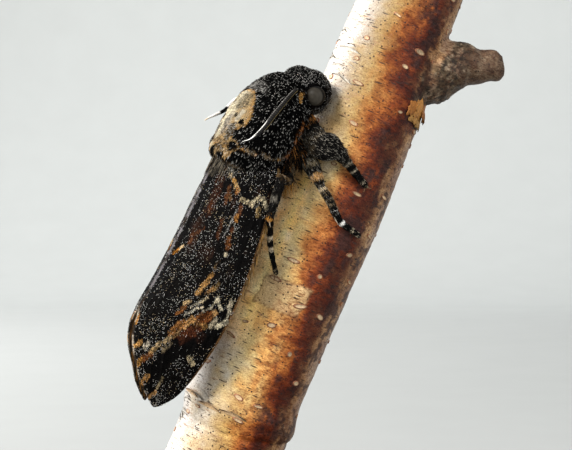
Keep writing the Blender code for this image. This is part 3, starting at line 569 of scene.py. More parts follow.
def coat_material(name, roughness=0.6, gleam=0.02):
    """Hair scales: the markings, broken up from scale to scale, with fine ridges."""
    n = Nodes(name)
    where = n.place()
    patches = n.noise(where, 900.0, 3.0)
    grain = n.noise(where, 5200.0, 2.0)
    return n.set(
        Base_Color=n.marked((patches, (0.3, 0.75), (0.7, 1.2)), (grain, (0.3, 0.85), (0.75, 1.2))),
        Roughness=n.ramp(patches, (0.2, roughness - 0.12), (0.8, roughness + 0.12)),
        Normal=n.bump(grain, 0.5, 0.00012),
        Specular_IOR_Level=gleam,
    )


def wing_material(name):
    """Rows of small flat scales over the membrane, each of its own shade, in the wing's own coordinates."""
    n = Nodes(name)
    wing = n.attribute("wing", "Vector")
    scales = n.cells(wing, 5.2, stretch=(1.0, 1.6, 1.0), random=0.9)
    rows = n.noise(wing, 3.0, 3.0)
    each = n.add("ShaderNodeSeparateColor", inputs={"Color": scales.outputs["Color"]}).outputs[0]
    shades = (each, (0.0, 0.1), (0.3, 0.32), (0.55, 0.95), (1.0, 1.5))
    return n.set(
        Base_Color=n.marked(shades, (rows, (0.3, 0.65), (0.7, 1.3))),
        Roughness=n.ramp(rows, (0.2, 0.6), (0.8, 0.8)),
        Normal=n.bump(rows, 0.4, 0.0002, n.bump(scales.outputs["Distance"], 0.5, 0.00012)),
        Specular_IOR_Level=0.03,
    )


def skin_material(name):
    n = Nodes(name)
    where = n.place()
    down = n.noise(where, 1500.0, 4.0)
    lumps = n.cells(where, 3200.0)
    return n.set(
        Base_Color=n.marked((down, (0.3, 0.45), (0.7, 1.1))),
        Roughness=n.ramp(down, (0.2, 0.6), (0.8, 0.85)),
        Normal=n.bump(lumps.outputs["Distance"], 0.5, 0.0002, n.bump(down, 0.6, 0.0004)),
        Specular_IOR_Level=0.05,
    )


def horn_material(name):
    n = Nodes(name)
    grain = n.noise(n.place(), 2600.0, 3.0)
    return n.set(
        Base_Color=n.marked((grain, (0.3, 0.6), (0.7, 1.25))),
        Roughness=n.ramp(grain, (0.2, 0.45), (0.8, 0.65)),
        Normal=n.bump(grain, 0.35, 0.0001),
        Specular_IOR_Level=0.2,
    )


def eye_material(name):
    n = Nodes(name)
    where = n.place()
    facets = n.cells(where, 9000.0, random=0.3)
    rings = n.noise(where, 700.0, 2.0)
    return n.set(
        Base_Color=n.marked((rings, (0.3, 0.85), (0.7, 1.15))),
        Roughness=n.ramp(rings, (0.2, 0.38), (0.8, 0.5)),
        Normal=n.bump(facets.outputs["Distance"], 0.25, 0.00004),
        Specular_IOR_Level=0.06,
    )


def bark_material(name):
    """Young glossy birch bark with blotches, dots, dark slits and papery cross lines."""
    n = Nodes(name)
    stem = n.attribute("bark", "Vector")  # across, back and up the branch, in mm
    grain = n.noise(stem, 2.6, 4.0, 0.65, stretch=(1.0, 1.0, 1.6))
    mottle = n.noise(stem, 0.62, 5.0, 0.62, stretch=(1.0, 1.0, 1.9), distortion=0.6)
    blotch = n.noise(stem, 0.17, 4.0, 0.55, distortion=0.5)
    lines = n.noise(stem, 0.5, 4.0, 0.6, stretch=(0.35, 0.35, 4.2))
    fibre = n.noise(stem, 2.0, 3.0, 0.7, stretch=(0.6, 0.6, 1.7), distortion=0.4)
    dots = n.cells(stem, 0.95)
    dust = n.cells(stem, 1.5)
    slits = n.cells(stem, 0.22, stretch=(1.0, 1.0, 6.0))
    colour = n.attribute("markings")
    tanned = n.math("SUBTRACT", 1.0, n.product(n.attribute("papery", "Fac"), 0.85))
    blotches = n.ramp(blotch, (0.36, (0.66, 0.52, 0.46)), (0.6, (1.15, 1.15, 1.12)))
    colour = n.times(colour, blotches, tanned)
    mottles = n.ramp(mottle, (0.34, (0.5, 0.36, 0.31)), (0.5, 1.0), (0.68, (1.3, 1.36, 1.45)))
    colour = n.times(colour, mottles, tanned)
    colour = n.times(colour, n.ramp(grain, (0.3, (0.62, 0.56, 0.52)), (0.68, (1.28, 1.28, 1.26))))
    worn = n.ramp(fibre, (0.38, (0.4, 0.27, 0.2)), (0.47, 1.0), (0.62, 1.0), (0.7, (1.22, 1.26, 1.34)))
    colour = n.times(colour, worn, n.product(tanned, 0.85))
    papery = n.product(n.ramp(lines, (0.6, 0.0), (0.66, 1.0)), n.attribute("papery", "Fac"))
    colour = n.mix(n.product(papery, 0.75), colour, (0.3, 0.17, 0.09))
    spots = n.ramp(dots.outputs["Distance"], (0.13, 1.0), (0.21, 0.0))
    few = n.ramp(n.noise(stem, 0.35, 2.0), (0.3, 0.0), (0.46, 1.0))
    colour = n.mix(n.product(spots, few), colour, (0.016, 0.01, 0.008))
    specks = n.ramp(dust.outputs["Distance"], (0.1, 1.0), (0.25, 0.0))
    thick = n.ramp(n.noise(stem, 0.5, 3.0), (0.4, 0.15), (0.56, 1.0))
    colour = n.mix(n.product(n.product(specks, thick), 0.8), colour, (0.11, 0.04, 0.02))
    cuts = n.ramp(slits.outputs["Distance"], (0.13, 1.0), (0.22, 0.0))
    colour = n.mix(n.product(cuts, n.ramp(few, (0.3, 0.2), (0.8, 0.9))), colour, (0.028, 0.014, 0.01))
    wood = n.marked((grain, (0.3, 0.8), (0.7, 1.15)))
    colour = n.mix(n.attribute("sawn", "Fac"), colour, wood)
    relief = n.bump(grain, 0.35, 0.0002, n.bump(mottle, 0.5, 0.0005))
    relief = n.bump(cuts, -0.6, 0.0002, n.bump(lines, 0.3, 0.0003, relief))
    return n.set(
        Base_Color=colour,
        Roughness=n.ramp(mottle, (0.3, 0.34), (0.7, 0.54)),
        Normal=relief,
        Specular_IOR_Level=0.16,
    )


def wood_material(name):
    n = Nodes(name)
    where = n.place()
    bands = n.noise(where, 240.0, 3.0, stretch=(0.12, 1.0, 1.0), distortion=0.6)
    pores = n.noise(where, 2600.0, 2.0, stretch=(0.06, 1.0, 1.0))
    colour = n.ramp(bands, (0.3, (0.035, 0.02, 0.013)), (0.5, (0.075, 0.042, 0.024)), (0.72, (0.13, 0.075, 0.04)))
    return n.set(
        Base_Color=n.times(colour, n.ramp(pores, (0.32, 0.55), (0.5, 1.05))),
        Roughness=n.ramp(pores, (0.2, 0.45), (0.7, 0.3)),
        Normal=n.bump(pores, 0.2, 0.0001),
        Coat_Weight=0.25,
        Coat_Roughness=0.2,
    )


def brass_material(name):
    n = Nodes(name)
    where = n.place()
    turned = n.noise(where, 900.0, 2.0, stretch=(0.2, 0.2, 4.0))
    tarnish = n.noise(where, 180.0, 3.0)
    return n.set(
        Base_Color=n.ramp(tarnish, (0.3, (0.5, 0.33, 0.13)), (0.7, (0.76, 0.56, 0.27))),
        Metallic=1.0,
        Roughness=n.ramp(turned, (0.2, 0.2), (0.8, 0.38)),
        Normal=n.bump(turned, 0.12, 0.00005),
    )


# Markings of the body

BLACK, SOOT = (0.0016, 0.0015, 0.0015), (0.0042, 0.0037, 0.0033)
CREAM, WHITE, GREY, YELLOW = (0.66, 0.47, 0.24), (0.95, 0.92, 0.85), (0.16, 0.145, 0.13), (0.6, 0.36, 0.06)
SKULL_RIM = spline(
    (
        (5.8, 0.9), (5.3, 1.5), (4.6, 2.15), (4.1, 2.7), (2.4, 3.7), (0.9, 4.35), (-0.9, 4.75), (-1.9, 4.55),
        (-2.6, 3.9), (-3.4, 3.1), (-4.6, 2.8), (-5.2, 3.3), (-5.7, 4.7), (-6.6, 5.3), (-7.6, 4.9), (-8.6, 4.2),
        (-9.6, 3.0), (-10.6, 2.4),
    )
)
SKULL_FAR_RIM = spline(
    (
        (5.8, -1.4), (5.3, -2.2), (4.6, -3.4), (3.6, -4.7), (1.0, -5.1), (-1.5, -5.0), (-4.0, -4.6), (-6.5, -4.2),
        (-8.5, -3.6), (-10.6, -2.6),
    )
)
SKULL_SPOTS = (  # black spots: a, r, half sizes, how deep, share of pale tips
    ((-0.45, 0.95), (0.52, 0.42), 1.0, 0.0),
    ((-1.5, 3.3), (0.62, 0.62), 1.0, 0.0),
    ((-4.0, 1.75), (1.9, 1.2), 0.85, 0.42),
    ((-6.75, 3.95), (1.05, 1.0), 1.0, 0.05),
    ((-7.9, 0.9), (0.5, 1.6), 0.8, 0.2),
    ((-9.35, -1.25), (1.35, 1.25), 1.0, 0.02),
    ((-9.6, 1.8), (1.05, 1.2), 1.0, 0.1),
    # the far half
    ((-1.5, -3.6), (0.6, 0.6), 1.0, 0.0),
    ((-4.3, -3.6), (1.5, 0.75), 0.8, 0.35),
    ((-6.9, -3.3), (0.9, 0.8), 1.0, 0.05),
)


def spot(a, r, centre, radii):
    """How far inside an oval a point is: 1 at its middle, 0 at its rim, below outside."""
    return 1.0 - np.hypot((a - centre[0]) / radii[0], (r - centre[1]) / radii[1])


def thorax_markings(points):
    """Colour of the thorax, and the shares of its scales with pale tips and with dark ones."""
    a, d, r = moth(points)
    wobble = ripple(points, 0.9, 3)
    ragged = ripple(points, 0.35, 5)
    colour = plain(BLACK, a)
    tips = np.full(len(a), 0.125) + 0.16 * ripple(points, 2.2, 8)
    specks = np.zeros(len(a))
    upper = d > 1.0
    # grey hair on the collar, rusty patches low on the sides, a row of tan tufts over the wing roots
    collar = plateau(a, 5.4, 6.2, 8.2, 9.6) * soft(d, 3.5, 4.6)
    collar = collar * soft(r, -4.5, -1.0) * (1 - soft(r, 3.0, 4.6))
    tips += 0.35 * collar
    colour = blend(colour, GREY, 0.25 * collar)
    low = soft(-d, 2.4, 3.6) * (1 - soft(a, 3.2, 4.6))
    low = low * soft(0.5 * noise(points, 1.7, 12) + 0.5 * noise(points, 0.5, 13), 0.54, 0.62)
    low = low * soft(np.abs(r), 4.5, 7.0)
    colour = blend(colour, (0.36, 0.12, 0.025), 0.8 * low)
    belly = soft(-d, 5.2, 6.8)
    colour = blend(colour, (0.01, 0.006, 0.004), 0.8 * belly)
    line = np.abs(a + 6.3 - 0.24 * np.clip(4.0 - d, 0, 9))
    band = (1 - soft(line, 0.35, 0.8)) * soft(np.abs(r), 5.2, 6.2) * (1 - soft(-d, 2.0, 3.5))
    band *= soft(0.6 * noise(points, 1.1, 15) + 0.4 * noise(points, 0.4, 16), 0.44, 0.58)
    colour = blend(colour, (0.2, 0.14, 0.08), 0.85 * band * soft(noise(points, 0.35, 19), 0.25, 0.5))
    colour = blend(colour, (0.5, 0.24, 0.06), 0.8 * band * soft(noise(points, 0.9, 18), 0.58, 0.66))
    tips = np.where(low + band > 0.4, 0.16, tips)
    behind_eye = soft(spot(a, d, (8.25, -1.75), (1.2, 0.5)) + 0.3 * wobble, 0.0, 0.25) * soft(np.abs(r), 4.5, 5.5)
    colour = blend(colour, (0.34, 0.18, 0.05), 0.9 * behind_eye)
    tips *= 1 - behind_eye
    # the skull mark
    rim = SKULL_RIM(a)[:, 0] + 0.3 * wobble + 0.3 * ragged
    far = r - SKULL_FAR_RIM(a)[:, 0] + 0.3 * wobble
    reach = np.minimum(rim - r, far)
    front = 5.6 - a + 0.25 * wobble
    back = a + 10.6
    within = np.minimum(np.minimum(reach, front), back)
    mark = soft(within, -0.1, 0.1) * upper
    skull = plain(CREAM, a)
    pale = soft(0.9 - r + 0.35 * (a + 1.0) * (a < 0), -0.6, 1.2)
    skull = blend(skull, (0.86, 0.77, 0.56), 0.85 * pale)
    edge = 1 - soft(np.minimum(rim - r, front + 0.2) + 0.5 * wobble, 0.25, 1.1)
    edge = np.maximum(edge, (1 - soft(far + 0.5 * wobble, 0.2, 0.8)) * (r < -2.4))
    skull = blend(skull, (0.6, 0.33, 0.1), 0.85 * edge)
    skull = blend(skull, (0.5, 0.32, 0.15), 0.6 * soft(-a, 4.8, 6.2) * soft(r, -2.0, 0.5))
    speck = noise(points, 0.3, 41)
    brow = np.maximum(spot(a, r, (2.9, 0.5), (2.5, 2.0)), spot(a, r, (2.4, -3.2), (1.9, 1.0)))
    brow = soft(brow + 0.5 * wobble, 0.0, 0.3)
    skull = blend(skull, (0.4, 0.33, 0.21), 0.6 * brow)
    specks = np.maximum(specks, 0.4 * brow)
    specks = np.maximum(specks, 0.07)
    cheek = soft(spot(a, r, (-2.9, -0.6), (2.9, 1.5)) + 0.4 * wobble, 0.0, 0.35)
    skull = blend(skull, (0.52, 0.46, 0.4), 0.6 * cheek)
    specks = np.maximum(specks, 0.3 * cheek)
    other_cheek = soft(spot(a, r, (-2.9, 3.5), (1.5, 0.9)) + 0.3 * wobble, 0.0, 0.4)
    specks = np.maximum(specks, 0.22 * other_cheek)
    streak = 1 - soft(to_segment(a, r, 0.6, 2.2, -1.2, 1.9) + 0.5 * wobble, 0.3, 0.9)
    skull = blend(skull, (0.84, 0.78, 0.62), 0.8 * streak)
    lip = 1 - soft(np.abs(a + 5.35 + 0.35 * np.abs(r - 1.9) + 0.4 * wobble), 0.18, 0.42)
    skull = blend(skull, (0.66, 0.44, 0.18), 0.9 * lip * soft(r, -0.4, 0.6))
    bow = 1 - soft(np.abs(a + 8.0 - 0.35 * np.abs(r - 0.9) + 0.4 * wobble), 0.2, 0.5)
    skull = blend(skull, (0.62, 0.36, 0.12), 0.85 * bow)
    between = plateau(-a, 5.6, 6.3, 7.0, 7.7) * soft(speck, 0.3, 0.6)
    skull = blend(skull, (0.1, 0.055, 0.025), 0.75 * between)
    tips = np.where(mark > 0.5, 0.06, tips)
    for centre, radii, depth, shine in SKULL_SPOTS:
        inside = soft(spot(a, r, centre, radii) + 0.5 * ragged * (radii[0] > 0.7), -0.06, 0.12)
        skull = blend(skull, BLACK, depth * inside)
        chosen = (inside > 0.5) & (mark > 0.5)
        tips = np.where(chosen, shine, tips)
        specks = np.where(chosen, 0.0, specks)
    colour = colour + (0.66 * skull - colour) * mark[:, None]
    # tan hair behind the mark
    rear = soft(-a, 9.4, 10.3) * soft(d, 2.0, 5.0)
    colour = blend(colour, (0.3, 0.2, 0.11), 0.5 * rear * soft(noise(points, 1.2, 51), 0.35, 0.6))
    return colour, tips, specks * (mark > 0.5)


def eye_distance(f, u, r):
    return np.sqrt((f - EYE_CENTRE[0]) ** 2 + (u - EYE_CENTRE[1]) ** 2 + (np.abs(r) - EYE_CENTRE[2]) ** 2)


def head_markings(points):
    f, u, r = head_frame(points)
    wobble = ripple(points, 0.8, 7)
    colour = plain(BLACK, f)
    tips = np.full(len(f), 0.19) + 0.2 * ripple(points, 2.0, 9)
    face = soft(f + 0.5 * wobble, 1.8, 3.6) * (1 - soft(u, 2.6, 4.0))
    colour = blend(colour, (0.07, 0.05, 0.034), 0.8 * face * soft(noise(points, 0.5, 13), 0.3, 0.6))
    tips += 0.1 * face
    chin = soft(-u, 2.2, 3.8)
    colour = blend(colour, (0.035, 0.022, 0.014), 0.7 * chin)
    # the ochre patch behind each eye
    gap = eye_distance(f, u, r) - EYE_RADIUS
    patch = 1 - soft(np.hypot((f + 3.25) / 0.7, (u - 0.1) / 1.3) + 0.25 * wobble, 0.7, 1.0)
    patch *= soft(np.abs(r), 1.6, 2.4)
    colour = blend(colour, (0.36, 0.19, 0.055), patch)
    # painted shade: the coat close round each eye is near black and without pale tips, as shade in the groove between
    # eye and head
    dark = (1 - soft(gap, 0.25, 0.7)) * (1 - patch)
    colour = blend(colour, (0.004, 0.0035, 0.0035), dark)
    return colour, np.clip(tips * (1 - 0.9 * dark) * (1 - patch), 0, 1), 0 * f


def abdomen_markings(points):
    a, d, r = moth(points)
    row = (-11.3 - a) / 31.7 * 7
    step = row - np.floor(row)
    wobble = ripple(points, 0.8, 71)
    colour = plain((0.52, 0.3, 0.06), a)
    ring = soft(step + 0.12 * wobble, 0.68, 0.8)
    colour = blend(colour, BLACK, 0.95 * ring * soft(d + 2.6, -2.5, -1.0))
    stripe = 1 - soft(np.abs(r) + 0.5 * wobble, 1.3, 1.9)
    colour = blend(colour, (0.1, 0.11, 0.14), 0.9 * stripe * soft(d, -2.0, 0.0))
    colour = blend(colour, (0.42, 0.3, 0.14), 0.6 * soft(-d, 5.0, 7.0))
    return colour, np.full(len(a), 0.05), 0 * a


LEG_COATS = {  # how far the skin lies under the outline, scales per square mm, their lengths, share of pale tips
    "coxa": {"trim": 0.3, "density": 15.0, "length": (0.8, 1.3), "tips": 0.04},
    "femur": {"trim": 0.22, "density": 24.0, "length": (0.7, 1.3), "tips": 0.21},
    "tibia": {"trim": 0.04, "density": 27.0, "length": (0.5, 1.0), "tips": 0.2},
    "tarsus": {"trim": -0.12, "density": 35.0, "length": (0.28, 0.45), "tips": 0.05},
}
LEG_BANDS = {  # part, along it from 0 to 1, half width, colour, strength
    "fore": (
        ("femur", 0.3, 0.16, (0.16, 0.12, 0.07), 0.3), ("tibia", 0.9, 0.2, (0.34, 0.27, 0.18), 0.4),
        ("tarsus", 0.2, 0.03, (0.5, 0.42, 0.3), 0.6), ("tarsus", 0.42, 0.03, (0.5, 0.42, 0.3), 0.6),
        ("tarsus", 0.78, 0.03, (0.5, 0.42, 0.3), 0.6), ("tarsus", 1.0, 0.05, (0.62, 0.5, 0.3), 0.9),
    ),
    "middle": (
        ("femur", 0.3, 0.1, (0.4, 0.32, 0.2), 0.45),
        ("femur", 0.62, 0.07, (0.52, 0.29, 0.11), 0.9),
        ("femur", 0.98, 0.08, (0.6, 0.42, 0.22), 0.9),
        ("tibia", 0.02, 0.08, (0.62, 0.52, 0.36), 0.8),
        ("tibia", 0.55, 0.12, (0.4, 0.3, 0.18), 0.35),
        ("tarsus", 0.02, 0.05, WHITE, 0.95),
        ("tarsus", 0.36, 0.04, WHITE, 0.95),
        ("tarsus", 0.66, 0.015, (0.6, 0.5, 0.34), 0.7),
        ("tarsus", 0.83, 0.015, (0.6, 0.5, 0.34), 0.7),
        ("tarsus", 0.98, 0.03, (0.6, 0.5, 0.34), 0.8),
    ),
    "hind": (
        ("femur", 0.8, 0.2, (0.36, 0.22, 0.1), 0.5), ("tibia", 0.5, 0.1, (0.45, 0.4, 0.32), 0.25),
        ("tibia", 0.99, 0.07, (0.58, 0.26, 0.05), 0.9), ("tarsus", 0.0, 0.04, (0.58, 0.26, 0.05), 0.8),
        ("tarsus", 0.42, 0.035, (0.66, 0.55, 0.38), 0.95), ("tarsus", 0.6, 0.03, (0.66, 0.55, 0.38), 0.95),
        ("tarsus", 0.97, 0.04, (0.66, 0.5, 0.28), 0.9),
    ),
}


def leg_markings(pair, part, along, points):
    colour = plain(SOOT if part != "tarsus" else BLACK, along)
    tips = np.full(len(along), LEG_COATS[part]["tips"])
    if pair == "hind":
        tips *= 0.5
    ragged = ripple(points, 0.35, 81)
    for band_part, middle, half, tone, strength in LEG_BANDS[pair]:
        if band_part == part:
            share = 1 - soft(np.abs(along - middle) + 0.05 * ragged, half * 0.6, half * 1.25)
            if strength < 0.6:
                share = share * soft(noise(points, 0.5, 83), 0.35, 0.6)
            colour = blend(colour, tone, strength * share)
    if part == "coxa":
        rusty = soft(0.5 * noise(points, 1.3, 85) + 0.5 * noise(points, 0.4, 86), 0.58, 0.66)
        colour = blend(colour, (0.3, 0.12, 0.03), 0.8 * rusty)
    return colour, tips, 0 * along


# The body's surfaces, each a function of two numbers from 0 to 1

THORAX_SHAPE, ABDOMEN_SHAPE = spline(THORAX), spline(ABDOMEN)
COAT_DEPTH = {"thorax": 0.5, "tegula": 0.5, "head": 0.34, "abdomen": 0.4, "palp": 0.2}
COAT_DENSITY = {"thorax": 30.0, "head": 46.0, "abdomen": 10.0, "palp": 50.0}  # tufts per square mm
MOST_TUFTS, MOST_LONG_TUFTS = 19000, 12000  # in one piece, so that it stays under 200,000 triangles
SKIN_VOXEL, BARK_VOXEL = 0.26, 0.42
EYE_ROOM, EYE_SOCKET = 0.12, 0.85  # how far the head and the thorax stay clear of the eyes


def hollowed(points, middle, radius):
    """Moves what lies too near an eye in towards the middle, clear of it."""
    inward = unit(middle - points)
    for side in (RIGHT, LEFT):
        offset = points - place_in_head(EYE_CENTRE[0], EYE_CENTRE[1], side * EYE_CENTRE[2])
        along = (offset * inward).sum(-1)
        gap = (offset * offset).sum(-1)
        step = np.where(gap < radius**2, np.sqrt(np.maximum(along**2 - gap + radius**2, 0)) - along, 0.0)
        points = points + inward * step[..., None]
    return points


def ring_surface(shape, front, rear, depth, pinch=None):
    def surface(u, v):
        a = front + (rear - front) * u
        middle, half, above, below = np.moveaxis(shape(a), -1, 0)
        scale = pinch(u) if pinch else 1.0
        angle = 2 * np.pi * v
        height = np.where(np.sin(angle) > 0, above, below) * scale - depth
        points = place(a, middle + height * np.sin(angle), (half * scale - depth) * np.cos(angle))
        return points if pinch else hollowed(points, place(a, middle, 0 * a), EYE_RADIUS + EYE_SOCKET)

    return surface


def segment_pinch(u):
    step = (7 * u) % 1.0
    return 1.0 - 0.055 * (1.0 - np.sin(np.pi * step))


def ellipsoid_surface(to_world, centre, radii, depth, tilt=0.0):
    radii = [radius - depth for radius in radii]

    def surface(u, v):
        polar = np.arccos(1 - 2 * np.clip(u, 1e-4, 1 - 1e-4))
        points = oval(to_world, centre, radii, polar, 2 * np.pi * v, tilt)
        return hollowed(points, to_world(*centre), EYE_RADIUS + EYE_ROOM)

    return surface


def tube_surface(path, depth):
    centres, radii, side, other, _ = tube_frames(path, 24)
    at = np.linspace(0, 1, len(centres))

    def surface(u, v):
        def along(rows):
            return np.stack([np.interp(u, at, rows[:, k]) for k in range(3)], -1)

        angle = (2 * np.pi * v)[..., None]
        reach = (np.interp(u, at, radii) - depth)[..., None]
        return along(centres) + reach * (along(side) * np.cos(angle) + along(other) * np.sin(angle))

    return surface


def sample(surface, density, skin, reach):
    """Roots spread evenly over a surface where it is on the fused skin: places, normals, lie and unwrap."""
    u, v = grid(np.linspace(0.01, 0.99, 60), np.linspace(0, 1, 60))
    h = 0.004

    def slopes(u, v):
        return (surface(u + h, v) - surface(u - h, v)) / (2 * h), (surface(u, v + h) - surface(u, v - h)) / (2 * h)

    def local_area(u, v):
        su, sv = slopes(u, v)
        return su, np.linalg.norm(np.cross(su, sv), axis=-1)

    largest = local_area(u, v)[1].max()
    wanted = int(largest * density)
    u, v = DICE.uniform(0.006, 0.994, wanted), DICE.uniform(0, 1, wanted)
    su, local = local_area(u, v)
    kept = DICE.uniform(0, largest, wanted) < local
    u, v, su = u[kept], v[kept], su[kept]
    on_skin, roots, normals = [], [], []
    for i, point in enumerate(surface(u, v)):
        where, normal, _, distance = skin.find_nearest(Vector(point))
        if distance is not None and distance < reach:
            on_skin.append(i)
            roots.append(where)
            normals.append(normal)
    on_skin = np.array(on_skin, int)
    return np.array(roots), np.array(normals), unit(su[on_skin]), u[on_skin], v[on_skin]


def solids(points, cell, tested=0):
    """Points and faces of many small solids of one make, turned outwards by the tested face."""
    cell = np.array(cell)
    first = points[0][cell[tested]]
    if np.dot(np.cross(first[1] - first[0], first[2] - first[0]), first.mean(0) - points[0].mean(0)) < 0:
        cell = cell[:, ::-1]
    faces = (np.arange(len(points))[:, None, None] * points.shape[1] + cell[None]).reshape(-1, 3)
    return points.reshape(-1, 3), faces


def islands(uv, patch):
    """Each solid's small patch of the unwrap."""
    return np.clip(uv[:, None] + (patch * 0.003)[None], 0.001, 0.999).reshape(-1, 2)


def unwrap(u, v, left=0.02, wide=0.96):
    return np.column_stack([left + wide * u, 0.02 + 0.96 * v])


def wing_unwrap(x, y, high=21.0):
    return np.column_stack([0.02 + 0.96 * x / 65.0, 0.02 + 0.96 * y / high])


def tufts(
    name, roots, normals, lie, colours, tip_colours, uv, length, width, thick, lift, material, slot,
    long=False, sink=0.1,
):
    """Thin closed blades that lie along the coat, each a fan of three-sided rings and a point."""
    count = len(roots)
    length, width, thick, lift = (
        np.broadcast_to(np.asarray(x, float), (count,))[:, None] for x in (length, width, thick, lift)
    )
    lie = level_with(lie, normals)
    side = unit(np.cross(normals, lie))
    level = np.sqrt(np.maximum(0.05, 1 - lift**2))
    bend = 0.45 if long else 0.25
    shares = ((0.0, 0.5), (0.35, 1.0), (0.7, 0.8)) if long else ((0.0, 0.6), (0.6, 1.0))
    points = []
    for share, wide in shares:
        centre = roots + (lie * level * share + normals * lift * (share - bend * share * share)) * length
        centre = centre - normals * (sink if share == 0.0 else 0.0)
        half = side * width * 0.5 * wide
        points += [centre + half, centre - half, centre + normals * thick * wide - lie * thick * 0.3]
    points.append(roots + (lie * level + normals * lift * (1 - bend)) * length)
    rings = len(shares)
    cell = [(0, 1, 2)]
    for k in range(0, 3 * rings - 3, 3):
        for i in range(3):
            j = (i + 1) % 3
            cell += [(k + i, k + 3 + i, k + 3 + j), (k + i, k + 3 + j, k + j)]
    last = 3 * rings - 3
    cell += [(last, 3 * rings, last + 1), (last + 1, 3 * rings, last + 2), (last + 2, 3 * rings, last)]
    points, faces = solids(np.stack(points, 1), cell)
    share = np.array([x for x, _ in shares for _ in range(3)] + [1.0])
    mixed = soft(share, 0.42, 0.98)[None, :, None]
    vertex_colours = colours[:, None] * (1 - mixed) + tip_colours[:, None] * mixed
    flat = islands(uv, np.column_stack([share - 0.5, np.array([0.5, -0.5, 0.0] * rings + [0.0])]))
    return piece(name, points, faces, material, slot, vertex_colours.reshape(-1, 3), flat)


def tint(markings, pale=WHITE):
    """Each tuft's own shade, and the colour of its tip."""
    colours, tips, specks = markings
    colours = np.clip(colours * DICE.uniform(0.7, 1.3, (len(colours), 1)), 0, 1)
    dark = DICE.uniform(0, 1, len(colours)) < specks
    colours = blend(colours, (0.03, 0.022, 0.016), 0.85 * dark)
    chosen = (DICE.uniform(0, 1, len(colours)) < tips) & ~dark
    strength = DICE.uniform(0.25, 1.0, len(colours)) * chosen
    return colours, blend(colours, pale, strength)


fur_look, skin_look, leg_look = coat_material("coat"), skin_material("skin"), coat_material("leg_scales", 0.55, 0.06)
horn_look, eye_look, wing_look = horn_material("horn"), eye_material("eye"), wing_material("wing_scales")


def path_of(rows, side, trim=0.0, to_world=place):
    return [(*to_world(a, d, side * r), radius - trim) for a, d, r, radius in rows]


def joint_swell(share):
    """Each tarsomere widens towards its far end."""
    step = (share * 5) % 1.0
    return 0.88 + 0.26 * step




def spike(root, tip, radius):
    """A curved, tapering claw."""
    root, tip = np.array(root), np.array(tip)
    ahead = unit(tip - root)
    side = unit(np.cross(ahead, AXIS + 0.3))
    other = np.cross(ahead, side)
    angle = around(8)
    rings = []
    for share in np.linspace(0, 1, 7):
        centre = root + (tip - root) * share + other * 0.12 * np.sin(np.pi * share) * np.linalg.norm(tip - root)
        reach = radius * (1 - 0.85 * share**1.3)
        rings.append(centre + reach * (side * np.cos(angle)[:, None] + other * np.sin(angle)[:, None]))
    return loft(np.array(rings))


THORAX_SURFACE = ring_surface(THORAX_SHAPE, 12.1, -11.0, COAT_DEPTH["thorax"])
ABDOMEN_SURFACE = ring_surface(ABDOMEN_SHAPE, -10.6, -43.0, COAT_DEPTH["abdomen"], segment_pinch)
SHAFTS = []  # where each leg's parts run, for the skin's colours


def body_parts():
    parts = []
    for surface, rows in ((THORAX_SURFACE, 90), (ABDOMEN_SURFACE, 150)):
        u, v = grid(np.linspace(0, 1, rows), np.arange(72) / 72)
        parts.append(loft(surface(u, v)))
    for centre, radii in HEAD_LUMPS:
        points, faces = ellipsoid(place_in_head, centre, [x - COAT_DEPTH["head"] for x in radii], 90, 60)
        parts.append((hollowed(points, place_in_head(*centre), EYE_RADIUS + EYE_ROOM), faces))
    for side in (RIGHT, LEFT):
        radii = [x - COAT_DEPTH["tegula"] for x in TEGULA_RADII]
        parts.append(ellipsoid(place, on_side(TEGULA_CENTRE, side), radii, tilt=TEGULA_TILT))
        parts.append(tube(path_of(PALP, side, COAT_DEPTH["palp"], place_in_head), 20, 10))
        for pair, plan in LEGS.items():
            for part, coat in LEG_COATS.items():
                swell, count = (joint_swell, 31) if part == "tarsus" else (None, 16)
                parts.append(tube(path_of(plan[part], side, coat["trim"]), 20, count, swell))
                SHAFTS.append((pair, part, through(path_of(plan[part], side), 16)[:, :3], plan[part][0][3]))
    return parts


def skin_colours(points):
    """The same markings as the coat's, point by point."""
    a, _, _ = moth(points)
    colour = thorax_markings(points)[0]
    behind = soft(-a, 10.8, 11.6)[:, None]
    colour = colour * (1 - behind) + abdomen_markings(points)[0] * behind
    f, u, _ = head_frame(points)
    in_head = (a > 9.0) & (np.hypot(f, u) < 5.7)
    colour[in_head] = head_markings(points[in_head])[0]
    best = np.full(len(points), 1.35)
    for pair, part, line, radius in SHAFTS:
        chosen = np.flatnonzero(np.linalg.norm(points - line.mean(0), axis=1) < 9.0)
        if not len(chosen) or part == "coxa":
            continue
        away = np.linalg.norm(points[chosen][:, None] - line[None], axis=2)
        closeness = away.min(1) / radius
        better = closeness < best[chosen]
        picked = chosen[better]
        best[picked] = closeness[better]
        along = away.argmin(1)[better] / (len(line) - 1)
        colour[picked] = leg_markings(pair, part, along, points[picked])[0]
    return colour * 0.8


def make_skin():
    skin = remeshed("moth_skin", body_parts(), SKIN_VOXEL, 2)
    points, _ = mesh_points(skin)
    dress(skin.data, skin_look, skin_colours(points))
    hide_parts("thorax", "abdomen", "head")
    for word in ("right", "left"):
        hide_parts(f"palp_{word}", f"leg_fore_{word}", f"leg_middle_{word}", f"leg_hind_{word}")
    return BVHTree.FromPolygons([Vector(p) for p in points], [tuple(p.vertices) for p in skin.data.polygons])


skin_tree = make_skin()


def coat_pieces(name, columns, look, slot, most=MOST_TUFTS, **settings):
    """The tufts in pieces of under 200,000 triangles, from head to tail."""
    order = np.argsort(-(columns[0] @ AXIS))
    parts = np.array_split(order, max(1, -(-len(order) // most)))
    for i, chosen in enumerate(parts):
        label = f"{name}_{i + 1}" if len(parts) > 1 else name
        tufts(label, *(column[chosen] for column in columns), look, slot, **settings)


